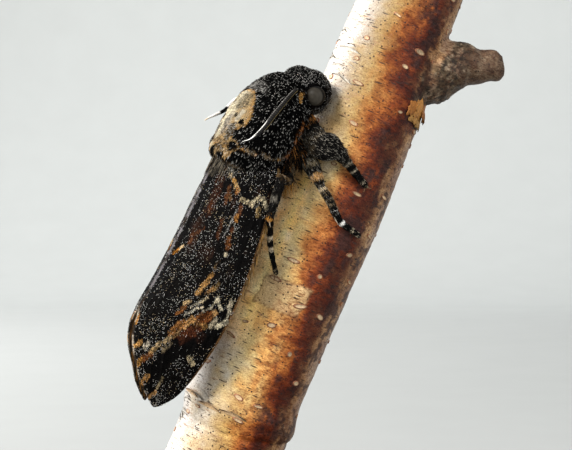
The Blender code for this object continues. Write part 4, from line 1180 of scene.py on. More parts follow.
def make_thorax_coat():
    roots, normals, lie, u, v = sample(THORAX_SURFACE, COAT_DENSITY["thorax"], skin_tree, 0.2)
    groups = [(roots, normals, lie, unwrap(u, v, wide=0.44))]
    for side in (RIGHT, LEFT):
        surface = ellipsoid_surface(
            place, on_side(TEGULA_CENTRE, side), TEGULA_RADII, COAT_DEPTH["tegula"], TEGULA_TILT
        )
        roots, normals, lie, u, v = sample(surface, COAT_DENSITY["thorax"], skin_tree, 0.2)
        groups.append((roots, normals, lie, unwrap(u, v, 0.5 if side > 0 else 0.75, 0.22)))
    roots, normals, lie, uv = joined(groups)
    a, d, _ = moth(roots)
    markings = thorax_markings(roots)
    base, tip = tint(markings)
    mark = (markings[0].max(1) > 0.15) & (d > 1)
    lie = unit(-AXIS[None] + 0.2 * lie + 0.28 * DICE.normal(size=lie.shape))
    fringe = soft(-a, 7.8, 9.6) + soft(-d, 4.0, 6.5)
    length = DICE.uniform(0.55, 1.0, len(a)) * np.where(mark, 0.9, 1.0) + 0.5 * fringe
    lift = DICE.uniform(0.35, 0.8, len(a)) * np.where(mark, 0.75, 1.0) * (1 - 0.35 * fringe)
    width = DICE.uniform(0.13, 0.23, len(a))
    columns = (roots, normals, lie, base, tip, uv, length, width, 0.3 * width, np.clip(lift, 0.1, 0.85))
    coat_pieces("coat_thorax", columns, fur_look, "fur")


def make_head_coat():
    groups = []
    back = unit(place_in_head(-1, 0, 0) - place_in_head(0, 0, 0))
    for k, (centre, radii) in enumerate(HEAD_LUMPS):
        surface = ellipsoid_surface(place_in_head, centre, [x - COAT_DEPTH["head"] for x in radii], 0.0)
        roots, normals, lie, u, v = sample(surface, COAT_DENSITY["head"], skin_tree, 0.15)
        groups.append((roots, normals, back + 0 * lie, unwrap(u, v, wide=0.22) + (0.24 * k, 0.0)))
    for side in (RIGHT, LEFT):
        surface = tube_surface(path_of(PALP, side, to_world=place_in_head), COAT_DEPTH["palp"])
        roots, normals, lie, u, v = sample(surface, COAT_DENSITY["palp"], skin_tree, 0.2)
        groups.append((roots, normals, lie, unwrap(u, v, 0.76 if side > 0 else 0.88, 0.1)))
    roots, normals, lie, uv = joined(groups)
    f, u, r = head_frame(roots)
    gap = eye_distance(f, u, r) - EYE_RADIUS
    clear = gap > 0.08
    roots, normals, lie, uv, gap, f = (x[clear] for x in (roots, normals, lie, uv, gap, f))
    base, tip = tint(head_markings(roots), (0.95, 0.92, 0.86))
    lie = unit(lie + 0.3 * DICE.normal(size=lie.shape))
    near = 1 - soft(gap, 0.1, 1.2)
    length = DICE.uniform(0.4, 0.72, len(roots)) * (1 - 0.35 * near) + 0.35 * soft(f, 1.5, 3.5) * (1 - near)
    lift = DICE.uniform(0.35, 0.8, len(roots)) * (1 - 0.3 * near)
    width = DICE.uniform(0.1, 0.18, len(roots))
    coat_pieces("coat_head", (roots, normals, lie, base, tip, uv, length, width, 0.3 * width, lift), fur_look, "fur")


def make_abdomen_coat():
    roots, normals, lie, u, v = sample(ABDOMEN_SURFACE, COAT_DENSITY["abdomen"], skin_tree, 0.25)
    base, tip = tint(abdomen_markings(roots), YELLOW)
    lie = unit(-AXIS[None] + 0.12 * DICE.normal(size=lie.shape))
    length, lift = DICE.uniform(0.8, 1.3, len(roots)), DICE.uniform(0.15, 0.4, len(roots))
    width = DICE.uniform(0.2, 0.34, len(roots))
    columns = (roots, normals, lie, base, tip, unwrap(u, v), length, width, 0.25 * width, lift)
    coat_pieces("coat_abdomen", columns, fur_look, "abdomen")


def make_leg_coats():
    for word, side in SIDES:
        gathered = []
        for index, (pair, plan) in enumerate(LEGS.items()):
            for slot, (part, coat) in enumerate(LEG_COATS.items()):
                surface = tube_surface(path_of(plan[part], side), coat["trim"])
                roots, normals, lie, u, v = sample(surface, coat["density"], skin_tree, 0.2)
                if not len(roots):
                    continue
                foot = part == "tarsus"
                length = DICE.uniform(*coat["length"], len(roots))
                lift = DICE.uniform(0.2, 0.5, len(roots)) * (0.5 if foot else 1.0)
                width = DICE.uniform(0.09, 0.17, len(roots)) * (0.8 if foot else 1.0)
                uv = unwrap((index * 4 + slot + 0.05 + 0.85 * u) / 12.5, v, wide=1.0)
                base, tip = tint(leg_markings(pair, part, u, roots), (0.72, 0.66, 0.55))
                lie = unit(lie + (0.08 if foot else 0.15) * DICE.normal(size=lie.shape))
                gathered.append((roots, normals, lie, base, tip, uv, length, width, 0.3 * width, lift))
        coat_pieces(f"coat_legs_{word}", joined(gathered), leg_look, "limb", MOST_LONG_TUFTS, long=True, sink=0.06)


make_thorax_coat()
make_head_coat()
make_abdomen_coat()
make_leg_coats()


# Claws, spurs, eyes, antennae


def make_horny_parts():
    parts, colours = [], []

    def horn(root, tip, radius, base_colour, tip_colour):
        points, faces = spike(root, tip, radius)
        parts.append((points, faces))
        base = np.array(base_colour)
        colours.append(np.linspace(0, 1, len(points))[:, None] * (np.array(tip_colour) - base) + base)

    for side in (RIGHT, LEFT):
        for plan in LEGS.values():
            root = place(*on_side(plan["tarsus"][-1][:3], side))
            for claw in plan["claws"]:
                tip = place(*on_side(claw, side))
                horn(root, root + (tip - root) * 0.97, 0.2, (0.05, 0.03, 0.02), (0.25, 0.12, 0.05))
            for start, tip in plan["spurs"]:
                ends = [place(*on_side(end, side)) for end in (start, tip)]
                horn(*ends, 0.26, (0.08, 0.06, 0.04), (0.45, 0.38, 0.28))
    points, faces = combine(parts)
    piece("claws_and_spurs", points, faces, horn_look, "limb", np.concatenate(colours))


def make_eyes():
    for word, side in SIDES:
        centre = on_side(EYE_CENTRE, side)
        points, faces = ellipsoid(place_in_head, centre, (EYE_RADIUS - 0.02,) * 3, 72, 48)
        f, u, r = head_frame(points)
        # painted shade: only the disc that faces the camera keeps the eye's colour; the rest of the ball is painted
        # near black, a dark band round the eye
        look = unit(np.array((-0.75, 0.09, side * 0.65)))
        out = (f - centre[0]) * look[0] + (u - centre[1]) * look[1] + (r - centre[2]) * look[2]
        unshaded_disc = soft(out / EYE_RADIUS, 0.4, 0.5)
        # painted counter-shade: the eye's colour is darker where the ball faces the key light and paler away from it,
        # so that the lit ball looks flat
        key_facing = np.clip(unit(points - place_in_head(*centre)) @ np.array((-0.57, -0.56, 0.6)), 0, 1)
        countershaded = np.array((0.027, 0.0235, 0.0185)) / (0.55 + 0.75 * key_facing[:, None])
        rings = 0.92 + 0.08 * np.sin(16 * np.arccos(np.clip(out / EYE_RADIUS, -1, 1)))
        colours = 0.004 * (1 - unshaded_disc[:, None]) + countershaded * (rings * unshaded_disc)[:, None]
        eye = piece(f"eye_ball_{word}", points, faces, eye_look, "eye", colours)
        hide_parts(f"eye_{word}")


def make_antennae():
    sides = 20
    angle = around(sides)
    for word, side in SIDES:
        centres, radii, _, _, ahead = tube_frames(path_of(ANTENNAE[side], side), 181)
        at = np.linspace(0, 1, len(centres))
        outward = unit(centres - (ORIGIN + ((centres - ORIGIN) @ AXIS)[:, None] * AXIS))
        teeth = (at * 46) % 1.0
        club = radii * 0.9
        upper = DORSAL[None] - outward * (DORSAL * outward).sum(1, keepdims=True)
        upper = level_with(upper, ahead)
        lateral = np.cross(ahead, upper)
        reach_up = ((0.8 + 0.2 * teeth) * club)[:, None, None]
        thin = (0.7 * club)[:, None, None]
        sine, cosine = np.sin(angle)[None, :, None], np.cos(angle)[None, :, None]
        rings = centres[:, None] + reach_up * upper[:, None] * sine + thin * lateral[:, None] * cosine
        points, faces = loft(rings)
        lift = np.concatenate([np.tile(np.sin(angle), len(centres)), [0, 0]])
        along = np.concatenate([np.repeat(at, sides), [0, 1]])
        ridge = np.concatenate([np.repeat(teeth, sides), [0, 0]])
        colours = plain((0.004, 0.0035, 0.0035), lift)
        colours = blend(colours, (0.022, 0.02, 0.018), soft(ridge, 0.4, 0.7) * soft(along, 0.06, 0.2))
        combed = 0.8 * soft(lift, 0.9, 0.99) * soft(ridge, 0.3, 0.6) * soft(along, 0.12, 0.35)
        colours = blend(colours, (0.42, 0.4, 0.36), combed)
        below = 0.95 * (1 - soft(lift, -0.97, -0.8)) * (1 - soft(along, 0.72, 0.8))
        colours = blend(colours, (0.44, 0.32, 0.13), below)
        if side == RIGHT:
            streak = soft(lift, 0.74, 0.94) * soft(along, 0.66, 0.74)
            hook = soft(along, 0.84, 0.9) * soft(lift, -0.1, 0.4)
            colours = blend(colours, (0.85, 0.83, 0.78), np.maximum(streak, hook))
        else:
            pale = soft(along, 0.56, 0.6) * (1 - 0.6 * soft(ridge, 0.5, 0.9))
            colours = blend(colours, (0.74, 0.71, 0.66), pale)
            colours = blend(colours, BLACK, soft(along, 0.7, 0.72) * (1 - soft(along, 0.8, 0.82)))
            colours = blend(colours, (0.62, 0.5, 0.34), soft(along, 0.93, 0.97))
        antenna = piece(f"antenna_shaft_{word}", points, faces, leg_look, "limb", colours)
        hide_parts(f"antenna_{word}")


SIDE_HAIR = (  # how many, two corners of their roots (a, d, r), which way they hang, lengths, colours
    (
        1500, (-7.5, -8.6, 1.5), (-0.5, -4.6, 7.4), (-0.78, -0.6, 0.0), (2.2, 4.2),
        ((0.003, 0.003, 0.003), (0.008, 0.006, 0.005), (0.05, 0.03, 0.014), (0.36, 0.15, 0.035)),
    ),
    (
        700, (-9.6, -8.2, 2.5), (-7.0, -5.4, 7.6), (-0.88, -0.46, 0.05), (2.6, 5.0),
        ((0.46, 0.22, 0.05), (0.34, 0.21, 0.09), (0.06, 0.035, 0.018), (0.01, 0.008, 0.006)),
    ),
)


def make_side_hair(word, side):
    """Long hair hanging from the rear of the thorax between the legs, black with some orange behind."""
    gathered = []
    for count, low, high, way, long, tones in SIDE_HAIR:
        a, d, r = (DICE.uniform(low[k], high[k], count) for k in range(3))
        way = way[0] * AXIS + way[1] * DORSAL + way[2] * side * SIDE
        found = [skin_tree.find_nearest(Vector(p)) for p in place(a, d, side * r)]
        kept = np.array([distance < 1.3 and abs(normal.dot(Vector(way))) < 0.85 for _, normal, _, distance in found])
        roots, normals = (np.array([tuple(f[k]) for f in found])[kept] for k in (0, 1))
        lie = unit(way + 0.16 * DICE.normal(size=roots.shape))
        out = level_with(normals, lie)
        pick = DICE.choice(len(tones), len(roots), p=(0.45, 0.3, 0.15, 0.1))
        tone = np.array(tones)[pick] * DICE.uniform(0.6, 1.3, (len(roots), 1))
        uv = np.column_stack([0.02 + 0.9 * (a[kept] + 10.0) / 10.0, 0.02 + 0.9 * (d[kept] + 9.0) / 5.0])
        gathered.append((roots, out, lie, tone, tone * 1.5, uv, DICE.uniform(*long, len(roots))))
    tufts(f"coat_side_hair_{word}", *joined(gathered), 0.15, 0.05, 0.08, fur_look, "fur", long=True)


make_horny_parts()
make_eyes()
make_antennae()
for word, side in SIDES:
    make_side_hair(word, side)


# Wings

ROOF_SHAPE = spline(ROOF)
SCALE_TRIES, ROOT_HAIRS, COSTAL_HAIRS, HAIRS_PER_STEP = 60000, 420, 900, 5


def roof(x, y, side, rise=0.0):
    """A point over the folded wing's outer surface, and the way out from it."""

    def surface(x, y):
        a = 1.0 - x
        ridge, costa_out, costa_height, drop = np.moveaxis(ROOF_SHAPE(a), -1, 0)
        t = y / 20.0
        inner = np.clip(t, None, 1.0)
        d = (1 - inner) ** 2 * ridge + 2 * inner * (1 - inner) * (ridge - drop) + inner**2 * costa_height
        r = (1 - inner) ** 2 * 0.3 + 2 * inner * (1 - inner) * 0.7 * costa_out + inner**2 * costa_out
        past = np.clip(t - 1.0, 0, None)
        d = d + 2 * past * (costa_height - ridge + drop)
        r = r + 2 * past * (costa_out - 0.7 * costa_out)
        return np.stack([a + 0 * t, d, r], -1)

    x, y = np.asarray(x, float), np.asarray(y, float)
    along = surface(x + 0.05, y) - surface(x - 0.05, y)
    across = surface(x, y + 0.05) - surface(x, y - 0.05)
    normal = unit(np.cross(across, along))
    normal *= np.where(normal[..., 1] + normal[..., 2] > 0, 1.0, -1.0)[..., None]
    local = surface(x, y) + normal * np.asarray(rise, float)[..., None]
    flip = np.array((1.0, 1.0, float(side)))
    axes = np.stack([AXIS, DORSAL, SIDE])
    return ORIGIN + (local * flip) @ axes, (normal * flip) @ axes, unit((along * flip) @ axes)


def closed_curve(points, step=0.5):
    """A fine closed line through the given points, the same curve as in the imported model."""
    points = np.array(points, float)
    line = []
    count = len(points)
    for i in range(count):
        before, start, end, after = points[i - 1], points[i], points[(i + 1) % count], points[(i + 2) % count]
        pieces = max(1, round(float(np.linalg.norm(end - start)) / step))
        for k in range(pieces):
            t = k / pieces
            line.append(
                0.5
                * (
                    2 * start
                    + (end - before) * t
                    + (2 * before - 5 * start + 4 * end - after) * t**2
                    + (3 * start - before - 3 * end + after) * t**3
                )
            )
    return np.array(line)


def edges_by_x(outline):
    """The outline as two heights over x."""
    line = closed_curve(outline)
    first, last = line[:, 0].argmin(), line[:, 0].argmax()
    ring = np.concatenate([line[first:], line[:first]])
    cut = (last - first) % len(line)
    one, two = ring[: cut + 1], np.concatenate([ring[cut:], ring[:1]])[::-1]
    high, low = (one, two) if one[:, 1].mean() > two[:, 1].mean() else (two, one)
    return high, low


def fine_line(points, step=0.4):
    points = np.array(points, float)
    count = max(2, int(np.linalg.norm(np.diff(points, axis=0), axis=1).sum() / step))
    rows = np.column_stack([points, np.zeros(len(points))])
    return through(rows, count)[:, :2]


def vein_rise(x, y, veins, height, half):
    best = np.full(np.shape(x), 9.0)
    for vein in veins:
        line = fine_line(vein, 2.0)
        for (x0, y0), (x1, y1) in zip(line[:-1], line[1:]):
            best = np.minimum(best, to_segment(x, y, x0, y0, x1, y1))
    return height * np.exp(-((best / half) ** 2)), best


# x0, y0, x1, y1, half width, softness, colour, strength, how broken up it is
FOREWING_STROKES = (
    # dark rust streaks of the inner half
    (13.0, 4.0, 22.0, 5.6, 0.72, 1.44, (0.034, 0.0122, 0.0061), 0.75, 0.9),
    (16.0, 8.0, 19.0, 8.6, 0.3, 0.63, (0.1088, 0.0408, 0.015), 0.8, 0.875),
    (17.4, 9.2, 18.2, 9.6, 0.21, 0.36, (0.1768, 0.0884, 0.034), 0.8, 0.8),
    (20.0, 5.0, 22.6, 5.2, 0.18, 0.45, (0.0884, 0.0306, 0.0122), 0.7, 0.85),
    (25.6, 6.2, 28.3, 3.6, 0.096, 0.36, (0.136, 0.051, 0.0204), 0.85, 0.75),
    (28.8, 4.4, 30.2, 3.9, 0.15, 0.36, (0.1156, 0.0442, 0.019), 0.7, 0.8),
    (23.0, 9.6, 26.4, 10.4, 0.24, 0.72, (0.068, 0.0231, 0.0088), 0.8, 0.85),
    # the inner cream line, orange towards the ridge
    (12.2, 5.6, 13.6, 7.2, 0.42, 0.72, (0.204, 0.1836, 0.1428), 0.5, 0.9),
    (13.4, 6.6, 14.1, 7.6, 0.18, 0.36, (0.64, 0.48, 0.27), 0.95, 0.75),
    (14.0, 8.2, 14.6, 9.2, 0.24, 0.36, (0.462, 0.2436, 0.0672), 0.95, 0.75),
    (15.0, 9.5, 15.8, 10.6, 0.3, 0.45, (0.62, 0.4, 0.17), 0.95, 0.75),
    (15.6, 10.2, 16.4, 10.6, 0.18, 0.45, (0.3864, 0.1428, 0.0336), 0.8, 0.8),
    (17.2, 12.4, 17.5, 13.4, 0.21, 0.36, (0.66, 0.52, 0.3), 0.95, 0.75),
    (17.5, 13.7, 17.1, 15.6, 0.3, 0.315, (0.74, 0.6, 0.37), 1.0, 0.725),
    (16.9, 15.6, 15.7, 16.3, 0.228, 0.315, (0.76, 0.64, 0.42), 1.0, 0.725),
    (15.5, 16.4, 15.3, 17.9, 0.3, 0.315, (0.74, 0.6, 0.38), 1.0, 0.725),
    (15.4, 18.0, 16.6, 19.5, 0.3, 0.27, (0.76, 0.64, 0.42), 1.0, 0.7),
    (18.4, 13.0, 20.2, 13.2, 0.21, 0.54, (0.1156, 0.0442, 0.019), 0.8, 0.85),
    (17.5, 17.3, 18.5, 17.8, 0.3, 0.63, (0.3528, 0.2352, 0.1008), 0.9, 0.9),
    (21.0, 12.8, 21.4, 13.1, 0.3, 0.405, (0.42, 0.1848, 0.0462), 0.95, 0.8),
    (23.6, 12.9, 24.2, 13.1, 0.18, 0.54, (0.0884, 0.0286, 0.0116), 0.8, 0.8),
    (25.6, 12.8, 27.5, 13.7, 0.36, 0.63, (0.1904, 0.068, 0.0204), 0.9, 0.875),
    # the orange streaks of the middle
    (31.0, 2.9, 31.9, 2.3, 0.18, 0.27, (0.66, 0.48, 0.27), 0.95, 0.75),
    (32.2, 2.0, 33.4, 1.3, 0.204, 0.27, (0.5544, 0.2184, 0.0294), 1.0, 0.675),
    (30.6, 13.2, 33.0, 12.7, 0.12, 0.405, (0.1768, 0.102, 0.0408), 0.8, 0.9),
    (33.4, 12.9, 35.8, 12.6, 0.252, 0.405, (0.4704, 0.2436, 0.0714), 1.0, 0.775),
    (35.8, 12.6, 38.4, 12.0, 0.36, 0.495, (0.4872, 0.2604, 0.084), 1.0, 0.8),
    (34.8, 15.3, 36.6, 14.8, 0.12, 0.36, (0.3864, 0.2352, 0.084), 0.8, 0.85),
    (36.6, 14.4, 38.0, 13.8, 0.18, 0.45, (0.3696, 0.1932, 0.0672), 0.7, 0.9),
    (40.6, 11.2, 41.2, 10.8, 0.24, 0.36, (0.58, 0.4, 0.2), 0.95, 0.85),
    # fine cream zigzag
    (38.4, 14.1, 40.0, 13.5, 0.084, 0.18, (0.7, 0.56, 0.34), 0.95, 0.675),
    (40.0, 13.5, 41.5, 12.3, 0.084, 0.18, (0.74, 0.64, 0.46), 0.95, 0.675),
    (40.7, 14.6, 41.75, 13.3, 0.072, 0.162, (0.74, 0.62, 0.42), 0.95, 0.65),
    (41.75, 13.3, 43.4, 12.1, 0.072, 0.162, (0.74, 0.66, 0.5), 0.95, 0.65),
    (37.4, 16.2, 39.8, 16.0, 0.084, 0.18, (0.72, 0.62, 0.42), 0.95, 0.675),
    (40.0, 15.9, 42.0, 14.8, 0.084, 0.225, (0.7, 0.6, 0.42), 0.8, 0.8),
    (37.4, 16.2, 39.5, 17.9, 0.12, 0.198, (0.76, 0.66, 0.46), 1.0, 0.675),
    (37.2, 19.0, 38.4, 18.8, 0.24, 0.36, (0.7, 0.6, 0.42), 0.9, 0.8),
    (38.6, 19.0, 39.8, 19.5, 0.18, 0.27, (0.74, 0.64, 0.46), 0.95, 0.725),
    (41.0, 19.7, 42.6, 19.2, 0.3, 0.315, (0.78, 0.68, 0.48), 1.0, 0.675),
    (42.4, 19.1, 43.4, 18.4, 0.24, 0.36, (0.76, 0.66, 0.46), 0.95, 0.725),
    (42.2, 17.9, 43.6, 17.6, 0.24, 0.45, (0.6, 0.5, 0.34), 0.8, 0.875),
    # rust and orange field
    (40.6, 17.0, 41.9, 16.8, 0.3, 0.45, (0.504, 0.2856, 0.1092), 1.0, 0.725),
    (41.6, 16.4, 43.8, 15.6, 0.54, 0.63, (0.21, 0.068, 0.019), 0.9, 0.775),
    (42.0, 15.0, 43.6, 14.4, 0.3, 0.45, (0.26, 0.095, 0.027), 0.8, 0.8),
    (44.0, 16.6, 45.0, 14.9, 0.24, 0.45, (0.504, 0.2604, 0.084), 0.95, 0.8),
    (43.8, 13.9, 46.2, 12.9, 0.42, 0.6, (0.56, 0.3, 0.105), 0.95, 0.775),
    (45.4, 12.6, 48.4, 11.6, 0.5, 0.7, (0.36, 0.155, 0.045), 0.9, 0.825),
    (47.6, 12.9, 49.4, 12.0, 0.18, 0.54, (0.3864, 0.2268, 0.0924), 0.8, 0.875),
    (42.4, 11.2, 44.0, 10.4, 0.24, 0.54, (0.3, 0.115, 0.032), 0.9, 0.825),
    (45.6, 15.4, 48.6, 14.0, 0.72, 0.9, (0.072, 0.021, 0.0085), 0.9, 0.75),
    (46.2, 17.4, 47.6, 17.0, 0.24, 0.72, (0.034, 0.0122, 0.0068), 0.8, 0.75),
    # the outer tan line to the hind margin
    (48.8, 12.1, 51.0, 10.4, 0.21, 0.405, (0.58, 0.42, 0.22), 0.95, 0.825),
    (51.0, 10.4, 52.4, 9.6, 0.27, 0.405, (0.62, 0.44, 0.22), 1.0, 0.75),
    (52.4, 9.6, 54.0, 8.6, 0.3, 0.45, (0.6, 0.38, 0.15), 0.95, 0.8),
    (52.2, 7.6, 53.0, 6.8, 0.33, 0.45, (0.72, 0.63, 0.48), 1.0, 0.75),
    (50.6, 12.4, 52.0, 11.6, 0.24, 0.63, (0.5, 0.38, 0.22), 0.7, 0.9),
    (54.2, 8.8, 56.0, 5.9, 0.4, 0.5, (0.24, 0.085, 0.026), 0.9, 0.8),
    (51.6, 17.2, 52.4, 18.2, 0.3, 0.72, (0.6, 0.48, 0.28), 0.85, 0.925),
    (57.8, 13.0, 60.0, 12.6, 0.18, 0.63, (0.46, 0.36, 0.2), 0.7, 0.925),
    # orange dashes of the margin
    (48.0, 1.1, 49.2, 1.3, 0.35, 0.3, (0.5208, 0.2436, 0.0588), 0.95, 0.4),
    (52.4, 5.4, 53.9, 2.6, 0.2, 0.3, (0.5712, 0.3024, 0.0924), 1.0, 0.4),
    (55.9, 5.8, 57.4, 3.0, 0.24, 0.3, (0.588, 0.2856, 0.0672), 1.0, 0.35),
    (58.6, 8.2, 60.6, 4.9, 0.24, 0.4, (0.5208, 0.2688, 0.084), 1.0, 0.45),
    (61.4, 12.2, 63.6, 8.2, 0.26, 0.4, (0.4872, 0.2604, 0.0924), 1.0, 0.45),
)
SHADOWS = (  # dark bands without flecks
    (19.4, 15.2, 20.8, 19.4, 1.1, 0.8), (22.0, 15.8, 24.4, 16.2, 0.8, 0.9), (25.0, 16.4, 30.0, 17.4, 0.4, 0.8),
    (14.6, 11.6, 16.2, 13.6, 0.6, 0.6), (12.6, 17.4, 13.0, 19.4, 0.5, 0.6), (40.2, 17.6, 40.6, 19.6, 0.45, 0.4),
    (38.6, 15.0, 40.6, 14.9, 0.3, 0.3), (44.6, 19.6, 47.0, 18.2, 0.9, 0.7), (48.6, 15.8, 52.4, 13.2, 1.1, 0.8),
    (52.4, 13.2, 57.2, 10.8, 1.3, 1.0), (51.2, 2.4, 52.6, 5.2, 0.8, 0.6), (57.6, 8.4, 60.6, 9.6, 1.0, 0.8),
    (12.0, 1.4, 44.0, 1.3, 0.35, 0.5),
)


def forewing_markings(x, y):
    """Colour of a forewing's upper side, and how thick its pale flecks lie."""
    flat = np.stack([x, y], -1)
    bend_x = x + 0.7 * ripple(flat, 1.3, 3) + 0.5 * ripple(flat, 0.5, 24)
    bend_y = y + 0.5 * ripple(flat, 1.3, 4) + 0.4 * ripple(flat, 0.5, 25)
    oblique = np.stack([0.2 * (0.91 * x - 0.41 * y), 0.41 * x + 0.91 * y], -1)
    streaks = noise(oblique, 0.26, 6)
    grain = noise(flat, 0.45, 9)
    colour = plain((0.0036, 0.0031, 0.0028), x)
    brown = soft(noise_over(x * 0.35, y, 1.4, 14), 0.55, 0.8) * (1 - soft(x, 28.0, 34.0))
    colour = blend(colour, (0.032, 0.014, 0.008), 0.7 * brown)
    flecks = 0.3 + 0.7 * soft(noise(flat, 2.4, 17), 0.2, 0.7)
    cover = np.zeros(x.shape)
    fine = 0.55 * ripple(flat, 0.22, 27) + 0.55 * ripple(flat, 0.12, 29)
    for x0, y0, x1, y1, half, fade, tone, strength, broken in FOREWING_STROKES:
        away = to_segment(bend_x, bend_y, x0, y0, x1, y1)
        share = 1 - soft(away, half, half + fade)
        torn = soft(0.45 * streaks + 0.55 * grain + 0.35 * (share - 0.5), 0.3 + 0.16 * broken, 0.44 + 0.2 * broken)
        share = share * (1 - broken + broken * torn)
        share = strength * soft(share + 0.9 * fine * np.minimum(1.0, 4 * share), 0.22, 0.6)
        colour = blend(colour, np.array(tone), share)
        cover = np.maximum(cover, share * (max(tone) > 0.12))
        flecks = flecks * (1 - 0.7 * share)
    lines = soft(noise(oblique, 0.17, 28), 0.2, 0.62)
    colour = colour * (1 - cover + cover * (0.25 + 0.95 * lines))[..., None]
    for x0, y0, x1, y1, half, fade in SHADOWS:
        share = 1 - soft(to_segment(bend_x, bend_y, x0, y0, x1, y1), half, half + fade)
        dark = share * (1 - cover)
        colour = blend(colour, (0.0022, 0.002, 0.002), 0.7 * dark)
        flecks = flecks * (1 - 0.85 * dark)
    # the pale vein end and the small pale dot
    vein = 1 - soft(to_segment(x, y, 19.6, 12.25, 25.2, 11.7), 0.06, 0.2)
    colour = blend(colour, (0.38, 0.36, 0.33), 0.8 * vein * soft(grain, 0.2, 0.5))
    dot = 1 - soft(np.hypot(x - 28.9, y - 13.8), 0.28, 0.48)
    colour = blend(colour, (0.74, 0.62, 0.42), dot)
    # painted sheen: a silver band along the ridge edge, where the wing catches the light at a grazing angle; and the
    # brown front edge
    edge = 1 - soft(y + 0.4 * (grain - 0.5), 0.06, 0.24)
    silver = edge * soft(x, 12, 15) * (1 - soft(x, 43, 47)) * soft(noise_over(x * 0.5, y, 0.7, 23), 0.25, 0.6)
    colour = blend(colour, (0.3, 0.285, 0.31), 0.75 * silver)
    costa = soft(y, 19.75, 19.95) * soft(x, 8, 14) * (1 - soft(x, 54, 60))
    colour = blend(colour, (0.2, 0.1, 0.04), 0.7 * costa * (1 - cover))
    flecks = flecks * (1 - silver) * (1 - dot)
    return colour, flecks, cover


def underside_markings(x, y, along_veins):
    flat = np.stack([x, y], -1)
    colour = plain((0.36, 0.2, 0.05), x)
    mottle = noise(flat, 1.6, 31)
    colour = blend(colour, (0.12, 0.06, 0.025), 0.7 * soft(mottle, 0.3, 0.75))
    colour = blend(colour, (0.03, 0.02, 0.014), 0.85 * soft(x, 38, 56))
    colour = blend(colour, (0.07, 0.04, 0.02), 0.6 * (1 - soft(np.abs(x - 40 + 0.4 * (y - 10)), 0.6, 1.4)))
    colour = blend(colour, (0.42, 0.2, 0.05), 0.8 * (1 - soft(along_veins, 0.12, 0.34)))
    _, edge = edges_by_x(FOREWING_EDGE)
    margin = soft(x, 44, 47) * (1 - soft(y - np.interp(x, edge[:, 0], edge[:, 1]), 3.0, 4.5))
    colour = blend(colour, (0.05, 0.04, 0.024), 0.85 * margin)
    dash = soft(np.sin((0.8 * x + 0.6 * y) * 1.85 + 2.0 * (mottle - 0.5)), 0.15, 0.5)
    return blend(colour, (0.52, 0.24, 0.055), 0.85 * dash * margin)


def hindwing_markings(x, y, along_veins):
    flat = np.stack([x, y], -1)
    wobble = ripple(flat, 1.2, 35)
    colour = plain((0.62, 0.36, 0.055), x)
    colour = blend(colour, (0.5, 0.24, 0.04), 0.6 * soft(noise(flat, 0.9, 37), 0.4, 0.7))
    reach = np.hypot(x - 4.0, (y - 16.0) * 1.25) + 0.7 * wobble
    inner = 1 - soft(np.abs(reach - 20.0), 0.9, 1.5)
    outer = 1 - soft(np.abs(reach - 28.5), 1.6, 2.4)
    colour = blend(colour, (0.03, 0.016, 0.008), np.maximum(inner, outer) * 0.95)
    spikes = (1 - soft(along_veins, 0.2, 0.5)) * soft(reach, 24.0, 27.0)
    colour = blend(colour, (0.04, 0.02, 0.01), 0.85 * spikes)
    # the front edge, where it shows beside the forewing
    front = soft(y + 0.4 * wobble, 17.6, 18.6)
    colour = blend(colour, (0.3, 0.19, 0.085), 0.9 * front)
    return blend(colour, (0.06, 0.03, 0.014), 0.8 * front * soft(noise(flat, 0.6, 39), 0.45, 0.6))


VEIN = 0.17, 0.26  # how high a vein stands, and its half width


def puckers(x, y):
    """Shallow folds of the forewing's membrane."""
    return 0.1 * (noise_over(x * 0.5, y, 1.6, 61) - 0.5)


def forewing_top(x, y, _):
    """The scales over the blade carry the rest of the marking."""
    colour, _, cover = forewing_markings(x, y)
    return colour * (1 - 0.3 * cover[..., None])


WINGS = {  # outline, veins, depth under the roof, thickness, columns, rows, markings above and below
    "forewing": (FOREWING_EDGE, FOREWING_VEINS, 0.0, 0.36, 250, 84, forewing_top, underside_markings),
    "hindwing": (HINDWING_EDGE, HINDWING_VEINS, 1.16, 0.3, 110, 52, hindwing_markings, hindwing_markings),
}


